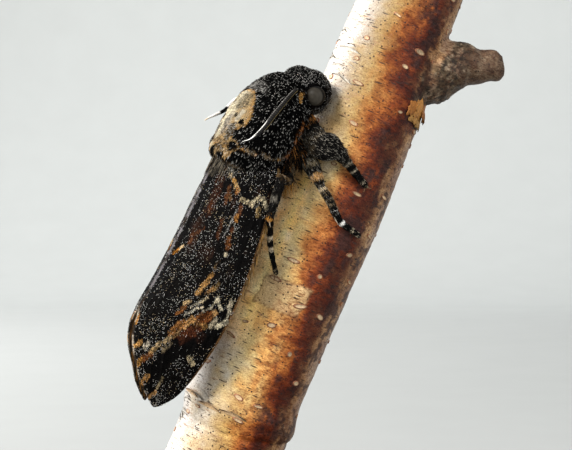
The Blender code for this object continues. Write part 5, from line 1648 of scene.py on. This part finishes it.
def make_wing(kind, word, side):
    outline, veins, depth, thick, columns, rows, above, under = WINGS[kind]
    node = f"{kind}_{word}"
    high, low = edges_by_x(outline)
    x_low, x_high = high[:, 0].min(), high[:, 0].max()
    s = np.linspace(0, 1, columns)
    # closer columns at both rounded ends
    end = 0.00886
    x = x_low + (x_high - x_low) * (0.5 - 0.5 * np.cos(np.pi * (0.06 + 0.88 * s)) - end) / (1 - 2 * end)
    x = np.clip(x, x_low + 0.004, x_high - 0.004)
    top, bottom = np.interp(x, high[:, 0], high[:, 1]), np.interp(x, low[:, 0], low[:, 1])
    q = np.linspace(0, 1, rows)
    X = np.repeat(x[:, None], rows, 1)
    Y = bottom[:, None] + (top - bottom)[:, None] * q
    rise, away = vein_rise(X, Y, veins, *VEIN)
    rim = np.minimum(np.minimum(Y - bottom[:, None], top[:, None] - Y), np.minimum(X - x_low, x_high - X) * 0.8)
    thin = soft(rim, 0.0, 0.5)
    upper, _, _ = roof(X, Y, side, (rise + puckers(X, Y)) * thin - depth - 0.16 * (1 - thin))
    lower, _, _ = roof(X, Y, side, -depth - 0.16 - (thick - 0.16) * thin + 0.5 * rise * thin)
    points = np.concatenate([upper.reshape(-1, 3), lower.reshape(-1, 3)])
    colours = np.concatenate([markings(X, Y, away).reshape(-1, 3) for markings in (above, under)])
    wing_place = np.column_stack([np.tile(X.ravel(), 2), np.tile(Y.ravel(), 2), np.repeat([0.0, 5.0], X.size)])
    sheet = grid_quads(columns, rows)
    count = columns * rows
    border = np.concatenate(
        [
            np.arange(columns) * rows,
            (columns - 1) * rows + np.arange(1, rows),
            (np.arange(columns - 1)[::-1]) * rows + rows - 1,
            np.arange(1, rows - 1)[::-1],
        ]
    )
    following = np.roll(border, -1)
    wall = np.column_stack([following, border, border + count, following + count])
    faces = np.concatenate([sheet, sheet[:, ::-1] + count, wall])
    a, b, c = points[sheet[100, 0]], points[sheet[100, 1]], points[sheet[100, 2]]
    _, normal, _ = roof(X.reshape(-1)[sheet[100, 0]], Y.reshape(-1)[sheet[100, 0]], side)
    if np.dot(np.cross(b - a, c - a), normal) < 0:
        faces = faces[:, ::-1]
    wing = piece(f"{kind}_blade_{word}", points, faces, wing_look, kind, colours, extra={"wing": wing_place})
    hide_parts(node)


def inside_wing(x, y, outline, margin=0.1):
    high, low = edges_by_x(outline)
    return (
        (y < np.interp(x, high[:, 0], high[:, 1]) - margin)
        & (y > np.interp(x, low[:, 0], low[:, 1]) + margin)
        & (x > high[:, 0].min() + margin)
        & (x < high[:, 0].max() - margin)
    )


def scales(name, roots, normals, lie, colours, uv, length, width, material, slot):
    """Single flat scales, each a closed wedge: a sunk root, two far corners and a low crest."""
    side = unit(np.cross(normals, lie))
    length, width = length[:, None], width[:, None]
    tip = roots + lie * length
    corners = [
        roots - normals * 0.03,
        tip + side * width / 2 + normals * 0.02,
        tip - side * width / 2 + normals * 0.02,
        roots + lie * length * 0.62 + normals * 0.065,
    ]
    points, faces = solids(np.stack(corners, 1), ((0, 1, 2), (0, 3, 1), (0, 2, 3), (1, 3, 2)), tested=1)
    flat = islands(uv, np.array([(-0.5, 0.0), (0.5, 0.5), (0.5, -0.5), (0.1, 0.0)]))
    return piece(name, points, faces, material, slot, np.repeat(colours, 4, 0), flat)


def make_wing_scales(word, side):
    """Pale flecks and raised dark scales lying back along the forewing."""
    x, y = DICE.uniform(1.2, 64.2, SCALE_TRIES), DICE.uniform(0.0, 20.2, SCALE_TRIES)
    kept = inside_wing(x, y, FOREWING_EDGE, 0.12)
    x, y = x[kept], y[kept]
    colours, flecks, cover = forewing_markings(x, y)
    lot = DICE.uniform(0, 1, len(x))
    pale = lot < 0.125 * flecks
    chosen = pale | (lot > 0.86 - 0.6 * cover)
    x, y, colours, pale = x[chosen], y[chosen], colours[chosen], pale[chosen]
    rise, _ = vein_rise(x, y, FOREWING_VEINS, *VEIN)
    roots, normals, along = roof(x, y, side, rise + puckers(x, y))
    tan = (DICE.uniform(0, 1, len(x)) < 0.08 + 0.5 * soft(noise_over(x, y, 3.0, 63), 0.5, 0.8))[:, None]
    tone = np.where(tan, np.array((0.7, 0.55, 0.33)), np.array((0.8, 0.78, 0.73)))
    tone = np.clip(tone * DICE.uniform(0.3, 1.35, (len(x), 1)), 0, 0.9)
    shade = DICE.uniform(0.3, 1.3, (len(x), 1)) * np.where(DICE.uniform(0, 1, (len(x), 1)) < 0.34, 0.08, 1.0)
    base = np.where(pale[:, None], tone, colours * shade)
    lie = level_with(unit(along + 0.25 * DICE.normal(size=along.shape)), normals)
    length = np.where(pale, 0.165, 0.34) * DICE.uniform(0.7, 1.4, len(x))
    width = DICE.uniform(0.11, 0.2, len(x)) * np.where(pale, 0.66, 1.0)
    uv = wing_unwrap(x, y)
    scales(f"wing_scales_{word}", roots, normals, lie, base, uv, length, width, fur_look, "forewing")


def make_root_hair(word, side):
    """Long grey-brown hair from the thorax back over the root of the wing."""
    x, y = DICE.uniform(8.6, 13.2, ROOT_HAIRS), np.abs(DICE.normal(0.0, 1.5, ROOT_HAIRS)) + 0.3
    kept = inside_wing(x, y, FOREWING_EDGE, 0.1)
    x, y = x[kept], y[kept]
    roots, normals, along = roof(x, y, side, 0.0)
    brown = DICE.uniform(0, 1, (len(x), 1)) < 0.5
    tone = np.where(brown, np.array((0.1, 0.083, 0.06)), np.array((0.018, 0.016, 0.013)))
    tone = tone * DICE.uniform(0.5, 1.6, (len(x), 1))
    lie = unit(along + 0.12 * DICE.normal(size=along.shape))
    tufts(
        f"wing_root_hair_{word}", roots, normals, lie, tone, tone * 1.3, wing_unwrap(x, y),
        DICE.uniform(1.8, 3.2, len(x)), 0.16, 0.05, DICE.uniform(0.05, 0.16, len(x)), fur_look, "forewing",
        long=True, sink=0.05,
    )


def make_costal_hair(word, side):
    """Tan hair of the hindwing's edge, showing beside the forewing's front edge."""
    count = COSTAL_HAIRS
    x, y = DICE.uniform(8.0, 34.0, count), DICE.uniform(19.7, 20.6, count)
    roots, normals, along = roof(x, y, side, -DICE.uniform(0.5, 1.0, count))
    below, _, _ = roof(x, y + 0.1, side, 0.0)
    above, _, _ = roof(x, y, side, 0.0)
    lie = unit(along + 0.22 * unit(below - above) + 0.08 * DICE.normal(size=along.shape))
    tones = np.array(((0.34, 0.22, 0.1), (0.2, 0.12, 0.05), (0.05, 0.03, 0.016), (0.46, 0.25, 0.07)))
    tone = tones[DICE.integers(0, 4, count)]
    tone = tone * DICE.uniform(0.6, 1.3, (count, 1))
    tufts(
        f"wing_costal_hair_{word}", roots, normals, lie, tone, tone * 1.2, wing_unwrap(x, y, 21.5),
        DICE.uniform(1.4, 2.6, count), 0.17, 0.05, 0.03, fur_look, "hindwing", long=True, sink=0.0,
    )


def make_fringe(word, side):
    """The fringe of long scales along the outer and hind edge, pale between the veins."""
    line = closed_curve(FOREWING_EDGE, 0.1)
    x, y = line[:, 0], line[:, 1]
    keep = ((y < 18.5) & (x > 44.0)) | ((y < 0.3) & (x > 15.0))
    x, y = x[keep], y[keep]
    ahead = np.roll(line, -1, 0) - np.roll(line, 1, 0)
    out = unit(np.column_stack([ahead[:, 1], -ahead[:, 0]]))[keep]
    centre = np.array((40.0, 10.0))
    out *= np.where(((np.column_stack([x, y]) - centre) * out).sum(1) > 0, 1, -1)[:, None]
    x, y, out = (np.repeat(values, HAIRS_PER_STEP, 0) for values in (x, y, out))
    x = x + DICE.uniform(-0.06, 0.06, len(x)) - 0.25 * out[:, 0]
    y = y + DICE.uniform(-0.06, 0.06, len(y)) - 0.25 * out[:, 1]
    away = np.full(len(x), 9.0)
    for vein in FOREWING_VEINS:
        away = np.minimum(away, np.hypot(x - vein[-1][0], y - vein[-1][1]))
    depth = -DICE.uniform(0.02, 0.32, len(x))
    roots, normals, _ = roof(x, y, side, depth)
    ahead_point, _, _ = roof(x + 0.1 * out[:, 0], y + 0.1 * out[:, 1], side, depth)
    lie = unit(ahead_point - roots + 0.008 * DICE.normal(size=roots.shape))
    termen = x > 46
    between = soft(away, 1.3, 1.7) * termen * (DICE.uniform(0, 1, len(x)) < 0.6)
    colour = blend(plain((0.03, 0.02, 0.013), x), (0.5, 0.42, 0.32), between)
    grey = 0.8 * (~termen) * soft(noise_over(x, y, 1.5, 77), 0.3, 0.6)
    colour = blend(colour, (0.26, 0.24, 0.25), grey)
    colour = colour * DICE.uniform(0.7, 1.25, (len(x), 1))
    length = np.where(termen, 0.5, 0.36) * DICE.uniform(0.7, 1.2, len(x))
    tufts(
        f"wing_fringe_{word}", roots, normals, lie, colour, colour, wing_unwrap(x, np.clip(y, 0, 21)), length,
        0.12, 0.03, 0.02, fur_look, "forewing", sink=0.0,
    )


for word, side in SIDES:
    make_wing("forewing", word, side)
    make_wing("hindwing", word, side)
    make_wing_scales(word, side)
    make_root_hair(word, side)
    make_costal_hair(word, side)
    make_fringe(word, side)


# Branch


def branch_parts():
    s = np.linspace(-6.0, BRANCH_LENGTH - 0.05, 260)
    rings, _ = on_branch(around(150)[None], s[:, None])
    rings[..., 2] = np.maximum(rings[..., 2], BRANCH_FOOT[2] + 0.02)
    stub = np.array(STUB)
    rows = through(np.column_stack([stub, np.zeros(len(stub))])[:, [0, 1, 3, 2]], 40)
    out, up, radius = rows[:, 0], rows[:, 1], rows[:, 3] - 0.1
    ahead = unit(np.gradient(out)[:, None] * BRANCH_ACROSS + np.gradient(up)[:, None] * BRANCH_UP)
    side = unit(np.cross(ahead, BACKWARD))
    angle = around(60)
    reach = radius[:, None] * (1 + 0.05 * np.sin(3 * angle[None] + out[:, None]))
    centre = BRANCH_FOOT + BRANCH_ACROSS * out[:, None] + BRANCH_UP * up[:, None]
    stub_rings = centre[:, None] + reach[..., None] * circle(side, BACKWARD[None], angle)
    return [loft(rings), loft(stub_rings)]


BRANCH_SHAPE = spline(BRANCH)
LENTICELS, PAPERY_EDGES, STRIP_THICKNESS, BARK_RADIUS = 125, 40, 0.08, 12.4


def at_cut(points, s):
    """1 on both sawn ends."""
    top = soft(s, BRANCH_LENGTH - 0.35, BRANCH_LENGTH - 0.15)
    return np.clip(top + (points[:, 2] < BRANCH_FOOT[2] + 0.1), 0, 1)


def branch_frame(points):
    """Height along the branch, angle round it and distance from its middle line; and the bark's own place."""
    offset = points - BRANCH_FOOT
    s = offset @ BRANCH_UP
    drift = BRANCH_SHAPE(s)[..., 1]
    across, back = offset @ BRANCH_ACROSS - drift, offset @ BACKWARD
    angle = np.arctan2(back, across)
    return s, angle, np.hypot(across, back), np.column_stack([12.0 * np.cos(angle), 12.0 * np.sin(angle), s])


BARK_TONES = (  # angle round the branch from its right side, towards the camera at -90: colour
    (-180, (0.46, 0.44, 0.41)), (-160, (0.5, 0.48, 0.45)), (-145, (0.5, 0.46, 0.4)), (-130, (0.45, 0.38, 0.27)),
    (-115, (0.42, 0.3, 0.145)), (-100, (0.44, 0.285, 0.1)), (-88, (0.44, 0.21, 0.055)), (-76, (0.32, 0.1, 0.02)),
    (-64, (0.17, 0.034, 0.007)), (-52, (0.075, 0.013, 0.004)), (-40, (0.1, 0.036, 0.016)), (-26, (0.32, 0.19, 0.09)),
    (0, (0.36, 0.27, 0.2)), (60, (0.32, 0.18, 0.09)), (110, (0.42, 0.28, 0.14)), (150, (0.46, 0.39, 0.3)),
    (180, (0.46, 0.44, 0.41)),
)


def branch_colours(points):
    s, angle, reach, flat = branch_frame(points)
    degrees = np.degrees(angle)
    turn = degrees + 26 * ripple(flat * (1, 1, 0.6), 8.0, 5) + 26 * ripple(flat * (1, 1, 0.8), 2.6, 6)
    turn = (turn + 14 * ripple(flat, 1.2, 7) + 180) % 360 - 180
    at, tones = (np.array(column, float) for column in zip(*BARK_TONES))
    colour = np.stack([np.interp(turn, at, tones[:, k]) for k in range(3)], -1)
    front = plateau(degrees, -85, -60, -20, 20)
    bruise = soft(0.6 * noise(flat * (1, 1, 0.6), 2.2, 9) + 0.4 * noise(flat, 0.8, 11), 0.54, 0.66) * front
    colour = blend(colour, (0.04, 0.016, 0.014), 0.85 * bruise)
    # the key light falls harder on the bare upper part
    left = 1 - soft(degrees, -95, -60)
    upper = soft(s, 60, 92) * left * soft(degrees, -150, -125)
    colour = colour * (1 - np.array((0.3, 0.28, 0.2)) * upper[:, None])
    # painted light: paler low on the front, where the light falls off and the moth's shadow lies
    lower = plateau(s, 8, 24, 66, 84) * soft(degrees, -135, -110) * (1 - soft(degrees, -84, -66))
    colour = colour * (1 + np.array((0.3, 0.5, 0.85)) * lower[:, None])
    # painted light: the moth's shadow on the left side lifted to a warm tan
    moth_shadow_lift = plateau(s, 24, 34, 72, 82) * soft(degrees, -172, -156) * (1 - soft(degrees, -122, -106))
    colour = np.minimum(colour * (1 + np.array((1.0, 0.62, 0.12)) * moth_shadow_lift[:, None]), 0.86)
    # wood showing at both cut ends
    grown = 0.5 + 0.5 * np.sin((reach + 0.7 * ripple(flat, 4.0, 33)) * 4.4)
    wood = blend(plain((0.5, 0.34, 0.19), s), (0.33, 0.19, 0.09), 0.6 * soft(grown, 0.6, 1.0))
    wood = blend(wood, (0.1, 0.045, 0.02), 1 - soft(np.abs(reach - 0.2), 0.5, 0.8))
    colour = blend(colour, wood, at_cut(points, s))
    # the smooth pale scar
    scar = 1 - np.maximum(np.abs(angle * 12.3 + 20.5) / 5.4, np.abs(s - 40.0) / 3.3) + 0.25 * ripple(flat, 2.0, 23)
    colour = blend(colour, (0.46, 0.33, 0.17), 0.8 * soft(scar, -0.02, 0.1))
    rim = 1 - soft(np.abs(scar - 0.02), 0.02, 0.07)
    colour = blend(colour, (0.16, 0.08, 0.035), 0.7 * rim)
    # dark fissured bark at the stub's root
    near_stub = soft(reach, 12.4, 13.4) * soft(s, 80, 90)
    crotch = np.hypot((s - 91.0) / 9.5, (degrees - 3) / 46)
    crotch = np.maximum(1 - soft(crotch + 0.5 * ripple(points, 1.6, 25), 0.65, 1.1), near_stub)
    knob = soft(reach, 15.5, 18.5)
    colour = blend(colour, (0.06, 0.045, 0.028), 0.92 * crotch)
    colour = blend(colour, (0.1, 0.064, 0.04), 0.9 * crotch * knob)
    silver = crotch * soft(0.5 * noise(points, 1.3, 19) + 0.5 * noise(points, 0.5, 20), 0.52, 0.64) * (1 - 0.6 * knob)
    colour = blend(colour, (0.26, 0.21, 0.15), 0.7 * silver)
    moss = crotch * soft(noise(points, 0.6, 29), 0.55, 0.65) * (1 - 0.7 * knob)
    return blend(colour, (0.016, 0.012, 0.008), 0.8 * moss), crotch


def make_branch():
    branch = remeshed("branch_bark", branch_parts(), BARK_VOXEL, 1)
    points, normals = mesh_points(branch)
    s, angle, reach, flat = branch_frame(points)
    colours, rough = branch_colours(points)
    relief = 0.16 * ripple(flat * (0.4, 0.4, 1), 1.4, 8) + 0.1 * ripple(flat, 0.9, 10)
    # the folded ring where a bud scar goes round, and its ridges
    ring_at = 11.0 + 1.2 * np.sin(angle + 0.8) + 0.8 * ripple(flat, 3.0, 12)
    relief += 0.22 * np.exp(-(((s - ring_at) / 0.8) ** 2)) - 0.25 * np.exp(-(((s - ring_at + 1.5) / 0.5) ** 2))
    # fissures at the stub
    smooth = 1 - 0.75 * soft(reach, 15.0, 18.0)
    relief += rough * smooth * (0.45 * (noise(points, 1.3, 14) - 0.6) + 0.4 * (noise(points, 0.5, 16) - 0.6))
    free = soft(BRANCH_LENGTH - s, 0.3, 1.0) * soft(points[:, 2], BRANCH_FOOT[2] + 0.2, BRANCH_FOOT[2] + 0.8)
    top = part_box("branch")[1]
    moved = points + normals * (np.clip(relief, -0.5, 0.14) * free)[:, None]
    moved[:, 0] = np.minimum(moved[:, 0], top[0] / MM - 0.02)
    move_points(branch, moved)
    offset = points - BRANCH_FOOT
    stem = np.column_stack([offset @ BRANCH_ACROSS, offset @ BACKWARD, s])
    papery = soft(np.cos(angle + 2.6), 0.35, 0.8) * (1 - rough)
    extra = {"bark": stem, "papery": papery, "sawn": at_cut(points, s)}
    dress(branch.data, bark_material("bark"), colours, extra)
    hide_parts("branch")


def on_branch(angle, s, lift=0.0):
    """Places on the bark at angles round the branch and heights along it, and the way out from there."""
    radius, drift = np.moveaxis(BRANCH_SHAPE(s), -1, 0)
    wave = np.sin(3 * angle + s / 9.0) + np.sin(2 * angle - s / 5.3 + 1.0)
    out = BRANCH_ACROSS * np.cos(angle)[..., None] + BACKWARD * np.sin(angle)[..., None]
    reach = radius - 0.12 + 0.06 * wave + lift
    return BRANCH_FOOT + BRANCH_UP * s[..., None] + BRANCH_ACROSS * drift[..., None] + out * reach[..., None], out


def make_lenticels():
    """Raised ovals across the bark, each a pale pad inside a red-brown rim."""
    parts, colours, places = [], [], []
    tries = 0
    while len(places) < LENTICELS and tries < 4000:
        tries += 1
        angle, s = DICE.uniform(-math.pi, math.pi), DICE.uniform(3, 113)
        if all((12 * (angle - a)) ** 2 + (s - b) ** 2 > 14 for a, b in places):
            places.append((angle, s))
    columns = 18
    for angle, s in places:
        long, short = DICE.uniform(0.5, 1.6), DICE.uniform(0.3, 0.66)
        tilt = DICE.uniform(-0.3, 0.3)
        rings = []
        for share, lift in ((1.0, -0.25), (1.0, 0.02), (0.86, 0.17), (0.68, 0.19), (0.5, 0.07), (0.2, 0.1)):
            x, y = long * share * np.cos(around(columns)), short * share * np.sin(around(columns))
            x, y = turned(x, y, tilt)
            rings.append(on_branch(angle + x / 12.2, s + y, lift)[0])
        parts.append(loft(np.array(rings)))
        rim = np.array((0.2, 0.075, 0.035)) * DICE.uniform(0.7, 1.4)
        pad = np.array((0.5, 0.36, 0.21)) * DICE.uniform(0.7, 1.1)
        rows = np.repeat([rim, (rim + pad) / 2, pad], (3 * columns, columns, 2 * columns), 0)
        colours.append(np.concatenate([rows, [rim, pad]]))
    points, faces = combine(parts)
    piece("branch_lenticels", points, faces, horn_look, "bark", np.concatenate(colours))


TORN_SHEETS = (  # beside the stub, one over another: angle, height, length, half width, lift, colour
    (-40, 89.6, 4.6, 1.9, 0.12, (0.4, 0.15, 0.03)), (-27, 90.6, 6.2, 2.2, 0.25, (0.46, 0.2, 0.045)),
    (-12, 90.4, 5.6, 2.0, 0.75, (0.34, 0.12, 0.025)), (-33, 87.6, 3.8, 2.0, 0.25, (0.5, 0.25, 0.065)),
    (-19, 87.2, 4.0, 1.9, 0.55, (0.56, 0.3, 0.085)), (-4, 88.8, 3.6, 1.5, 0.95, (0.42, 0.17, 0.035)),
)


def make_peels():
    """Thin strips of bark lifting off: across the branch on its pale side, hanging in rags beside the stub."""
    parts, colours = [], []

    def strip(angles, heights, lifts, tone):
        """A thin closed strip over rows of points on the bark."""
        top, _ = on_branch(angles, heights, lifts)
        under, _ = on_branch(angles, heights, lifts - STRIP_THICKNESS)
        loop = np.concatenate([top, under[:, ::-1]], axis=1)
        parts.append(loft(loop))
        shade = np.repeat(np.linspace(1.0, 0.62, len(loop)), loop.shape[1])
        rows = np.array(tone) * DICE.uniform(0.75, 1.15) * np.concatenate([shade, [1.0, 0.62]])[:, None]
        colours.append(rows)

    u, v = grid(np.linspace(0, 1, 14), np.linspace(-1, 1, 22))
    for angle, s, long, wide, rise, tone in TORN_SHEETS:
        across = v * wide + angle
        ragged = 0.7 * noise_over(across, 0 * v, 0.6, 5) + 0.7 * noise_over(across, 0 * v, 0.2, 8)
        sides = 0.75 + 0.55 * noise_over(u * long + 5 * np.sign(v) + angle, 0 * v, 0.7, 12)
        curl = noise_over(across, u * long, 1.1, 7)
        lift = -0.3 + 0.34 * soft(u, 0.0, 0.25) + rise * u**2 * (0.3 + curl) + 0.16 * curl * u
        strip(math.radians(angle) + v * wide * sides / BARK_RADIUS, s - long * u * (0.35 + 0.55 * ragged), lift, tone)
    u, v = grid(np.linspace(0, 1, 12), np.linspace(-1, 1, 6))
    for _ in range(PAPERY_EDGES):  # papery edges across the pale side
        angle = math.radians(DICE.uniform(-186, -128))
        s = DICE.choice((DICE.uniform(6.0, 18.0), DICE.uniform(84.0, 113.0)), p=(0.3, 0.7))
        long, wide = DICE.uniform(1.2, 4.2), DICE.uniform(0.25, 0.7)
        rise = DICE.uniform(-0.25, 0.12)
        taper = 1 - v**2
        wave = 0.4 * (noise_over(v * 2 + s, u, 0.7, 6) - 0.5)
        lift = 0.03 + 0.3 * wide * u**2
        strip(angle + v * long / BARK_RADIUS, s + v * long * rise + wide * u * taper + wave, lift, (0.56, 0.5, 0.42))
    for angle, s in ((-150, 13.0), (-120, 12.2), (-95, 12.6)):
        taper = 1 - 0.7 * v**2
        lift = 0.05 + 0.35 * u**2
        strip(math.radians(angle) + v * 3.0 / BARK_RADIUS, s + 0.9 * u * taper, lift, (0.42, 0.28, 0.15))
    points, faces = combine(parts)
    piece("branch_peels", points, faces, horn_look, "bark", np.concatenate(colours))


make_branch()
make_lenticels()
make_peels()


# Stand


def tongue_material(name):
    n = Nodes(name)
    return n.set(
        Base_Color=n.ramp(n.noise(n.place(), 1500.0), (0.3, (0.03, 0.015, 0.008)), (0.7, (0.09, 0.045, 0.02))),
        Roughness=0.45,
        Normal=n.bump(n.noise(n.place(), 3000.0), 0.4, 0.0001),
    )


wood, brass, tongue = wood_material("stand_wood"), brass_material("stand_brass"), tongue_material("tongue")
for name, material in (
    ("stand_base", wood), ("stand_rod_left", brass), ("stand_rod_right", brass), ("proboscis", tongue)
):
    nodes[name].data.materials.clear()
    nodes[name].data.materials.append(material)


# Floor, light and camera

# how far back, in m, and how pale there
BACKDROP_TONES = ((0.0, 0.29), (0.16, 0.295), (0.26, 0.31), (0.38, 0.335), (0.63, 0.415), (0.85, 0.51), (1.0, 0.6))


def make_stage():
    across = np.linspace(-2.2, 2.2, 23)
    profile = [(-1.8, 0.0), (-0.4, 0.0), (1.0, 0.0)]
    profile += [(1.0 + 0.5 * math.sin(t), 0.5 - 0.5 * math.cos(t)) for t in np.linspace(0.06, math.pi / 2, 30)]
    profile += [(1.5, 1.2), (1.5, 2.0)]
    points = np.array([[(x, y, z - 0.0004) for x in across] for y, z in profile]) / MM
    faces = grid_quads(len(profile), len(across))[:, [0, 3, 2, 1]]
    n = Nodes("studio_floor")
    paper = n.noise(n.place(), 30.0, 2.0)
    # paler with distance, as the light falls off
    back = n.add("ShaderNodeSeparateXYZ", inputs={"Vector": n.place()}).outputs[1]
    far = n.ramp(back, *((at, (v * 0.985, v * 1.01, v * 0.985)) for at, v in BACKDROP_TONES))
    n.set(Base_Color=n.times(far, n.ramp(paper, (0.3, 0.985), (0.7, 1.01))), Roughness=0.9)
    mesh = bpy.data.meshes.new("studio_floor")
    mesh.from_pydata([tuple(p * MM) for p in points.reshape(-1, 3)], [], faces.tolist())
    mesh.polygons.foreach_set("use_smooth", np.ones(len(mesh.polygons), bool))
    mesh.materials.append(n.material)
    floor = bpy.data.objects.new("studio_floor", mesh)
    bpy.context.scene.collection.objects.link(floor)


def area_light(name, place_at, target, size, power, colour):
    light = bpy.data.lights.new(name, "AREA")
    light.shape, light.size, light.energy, light.color = "DISK", size, power, colour
    lamp = bpy.data.objects.new(name, light)
    bpy.context.scene.collection.objects.link(lamp)
    lamp.location = place_at
    lamp.rotation_euler = (Vector(target) - Vector(place_at)).to_track_quat("-Z", "Y").to_euler()


make_stage()
area_light("key", (-0.8, -0.78, 0.92), (0.0, 0.0, 0.075), 0.5, 36.0, (1.0, 0.97, 0.93))
area_light("fill", (0.65, -0.7, 0.35), (0.0, 0.0, 0.07), 0.6, 5.0, (0.97, 0.98, 1.0))
area_light("rim", (-0.85, 0.3, 0.42), (0.0, 0.0, 0.08), 0.5, 18.0, (1.0, 1.0, 1.0))
world = bpy.data.worlds.new("studio")
bpy.context.scene.world = world
world.use_nodes = True
world.node_tree.nodes["Background"].inputs["Color"].default_value = (0.9, 0.95, 1.0, 1.0)
world.node_tree.nodes["Background"].inputs["Strength"].default_value = 0.5

bpy.context.scene.view_settings.view_transform = "Standard"

lens = bpy.data.cameras.new("camera")
lens.sensor_fit, lens.sensor_width, lens.lens = "HORIZONTAL", 36.0, 100.89
lens.clip_start = 0.01
camera = bpy.data.objects.new("camera", lens)
bpy.context.scene.collection.objects.link(camera)
camera.location = (0.0, -0.35, 0.0705)
camera.rotation_euler = (math.pi / 2, 0.0, 0.0)
bpy.context.scene.camera = camera
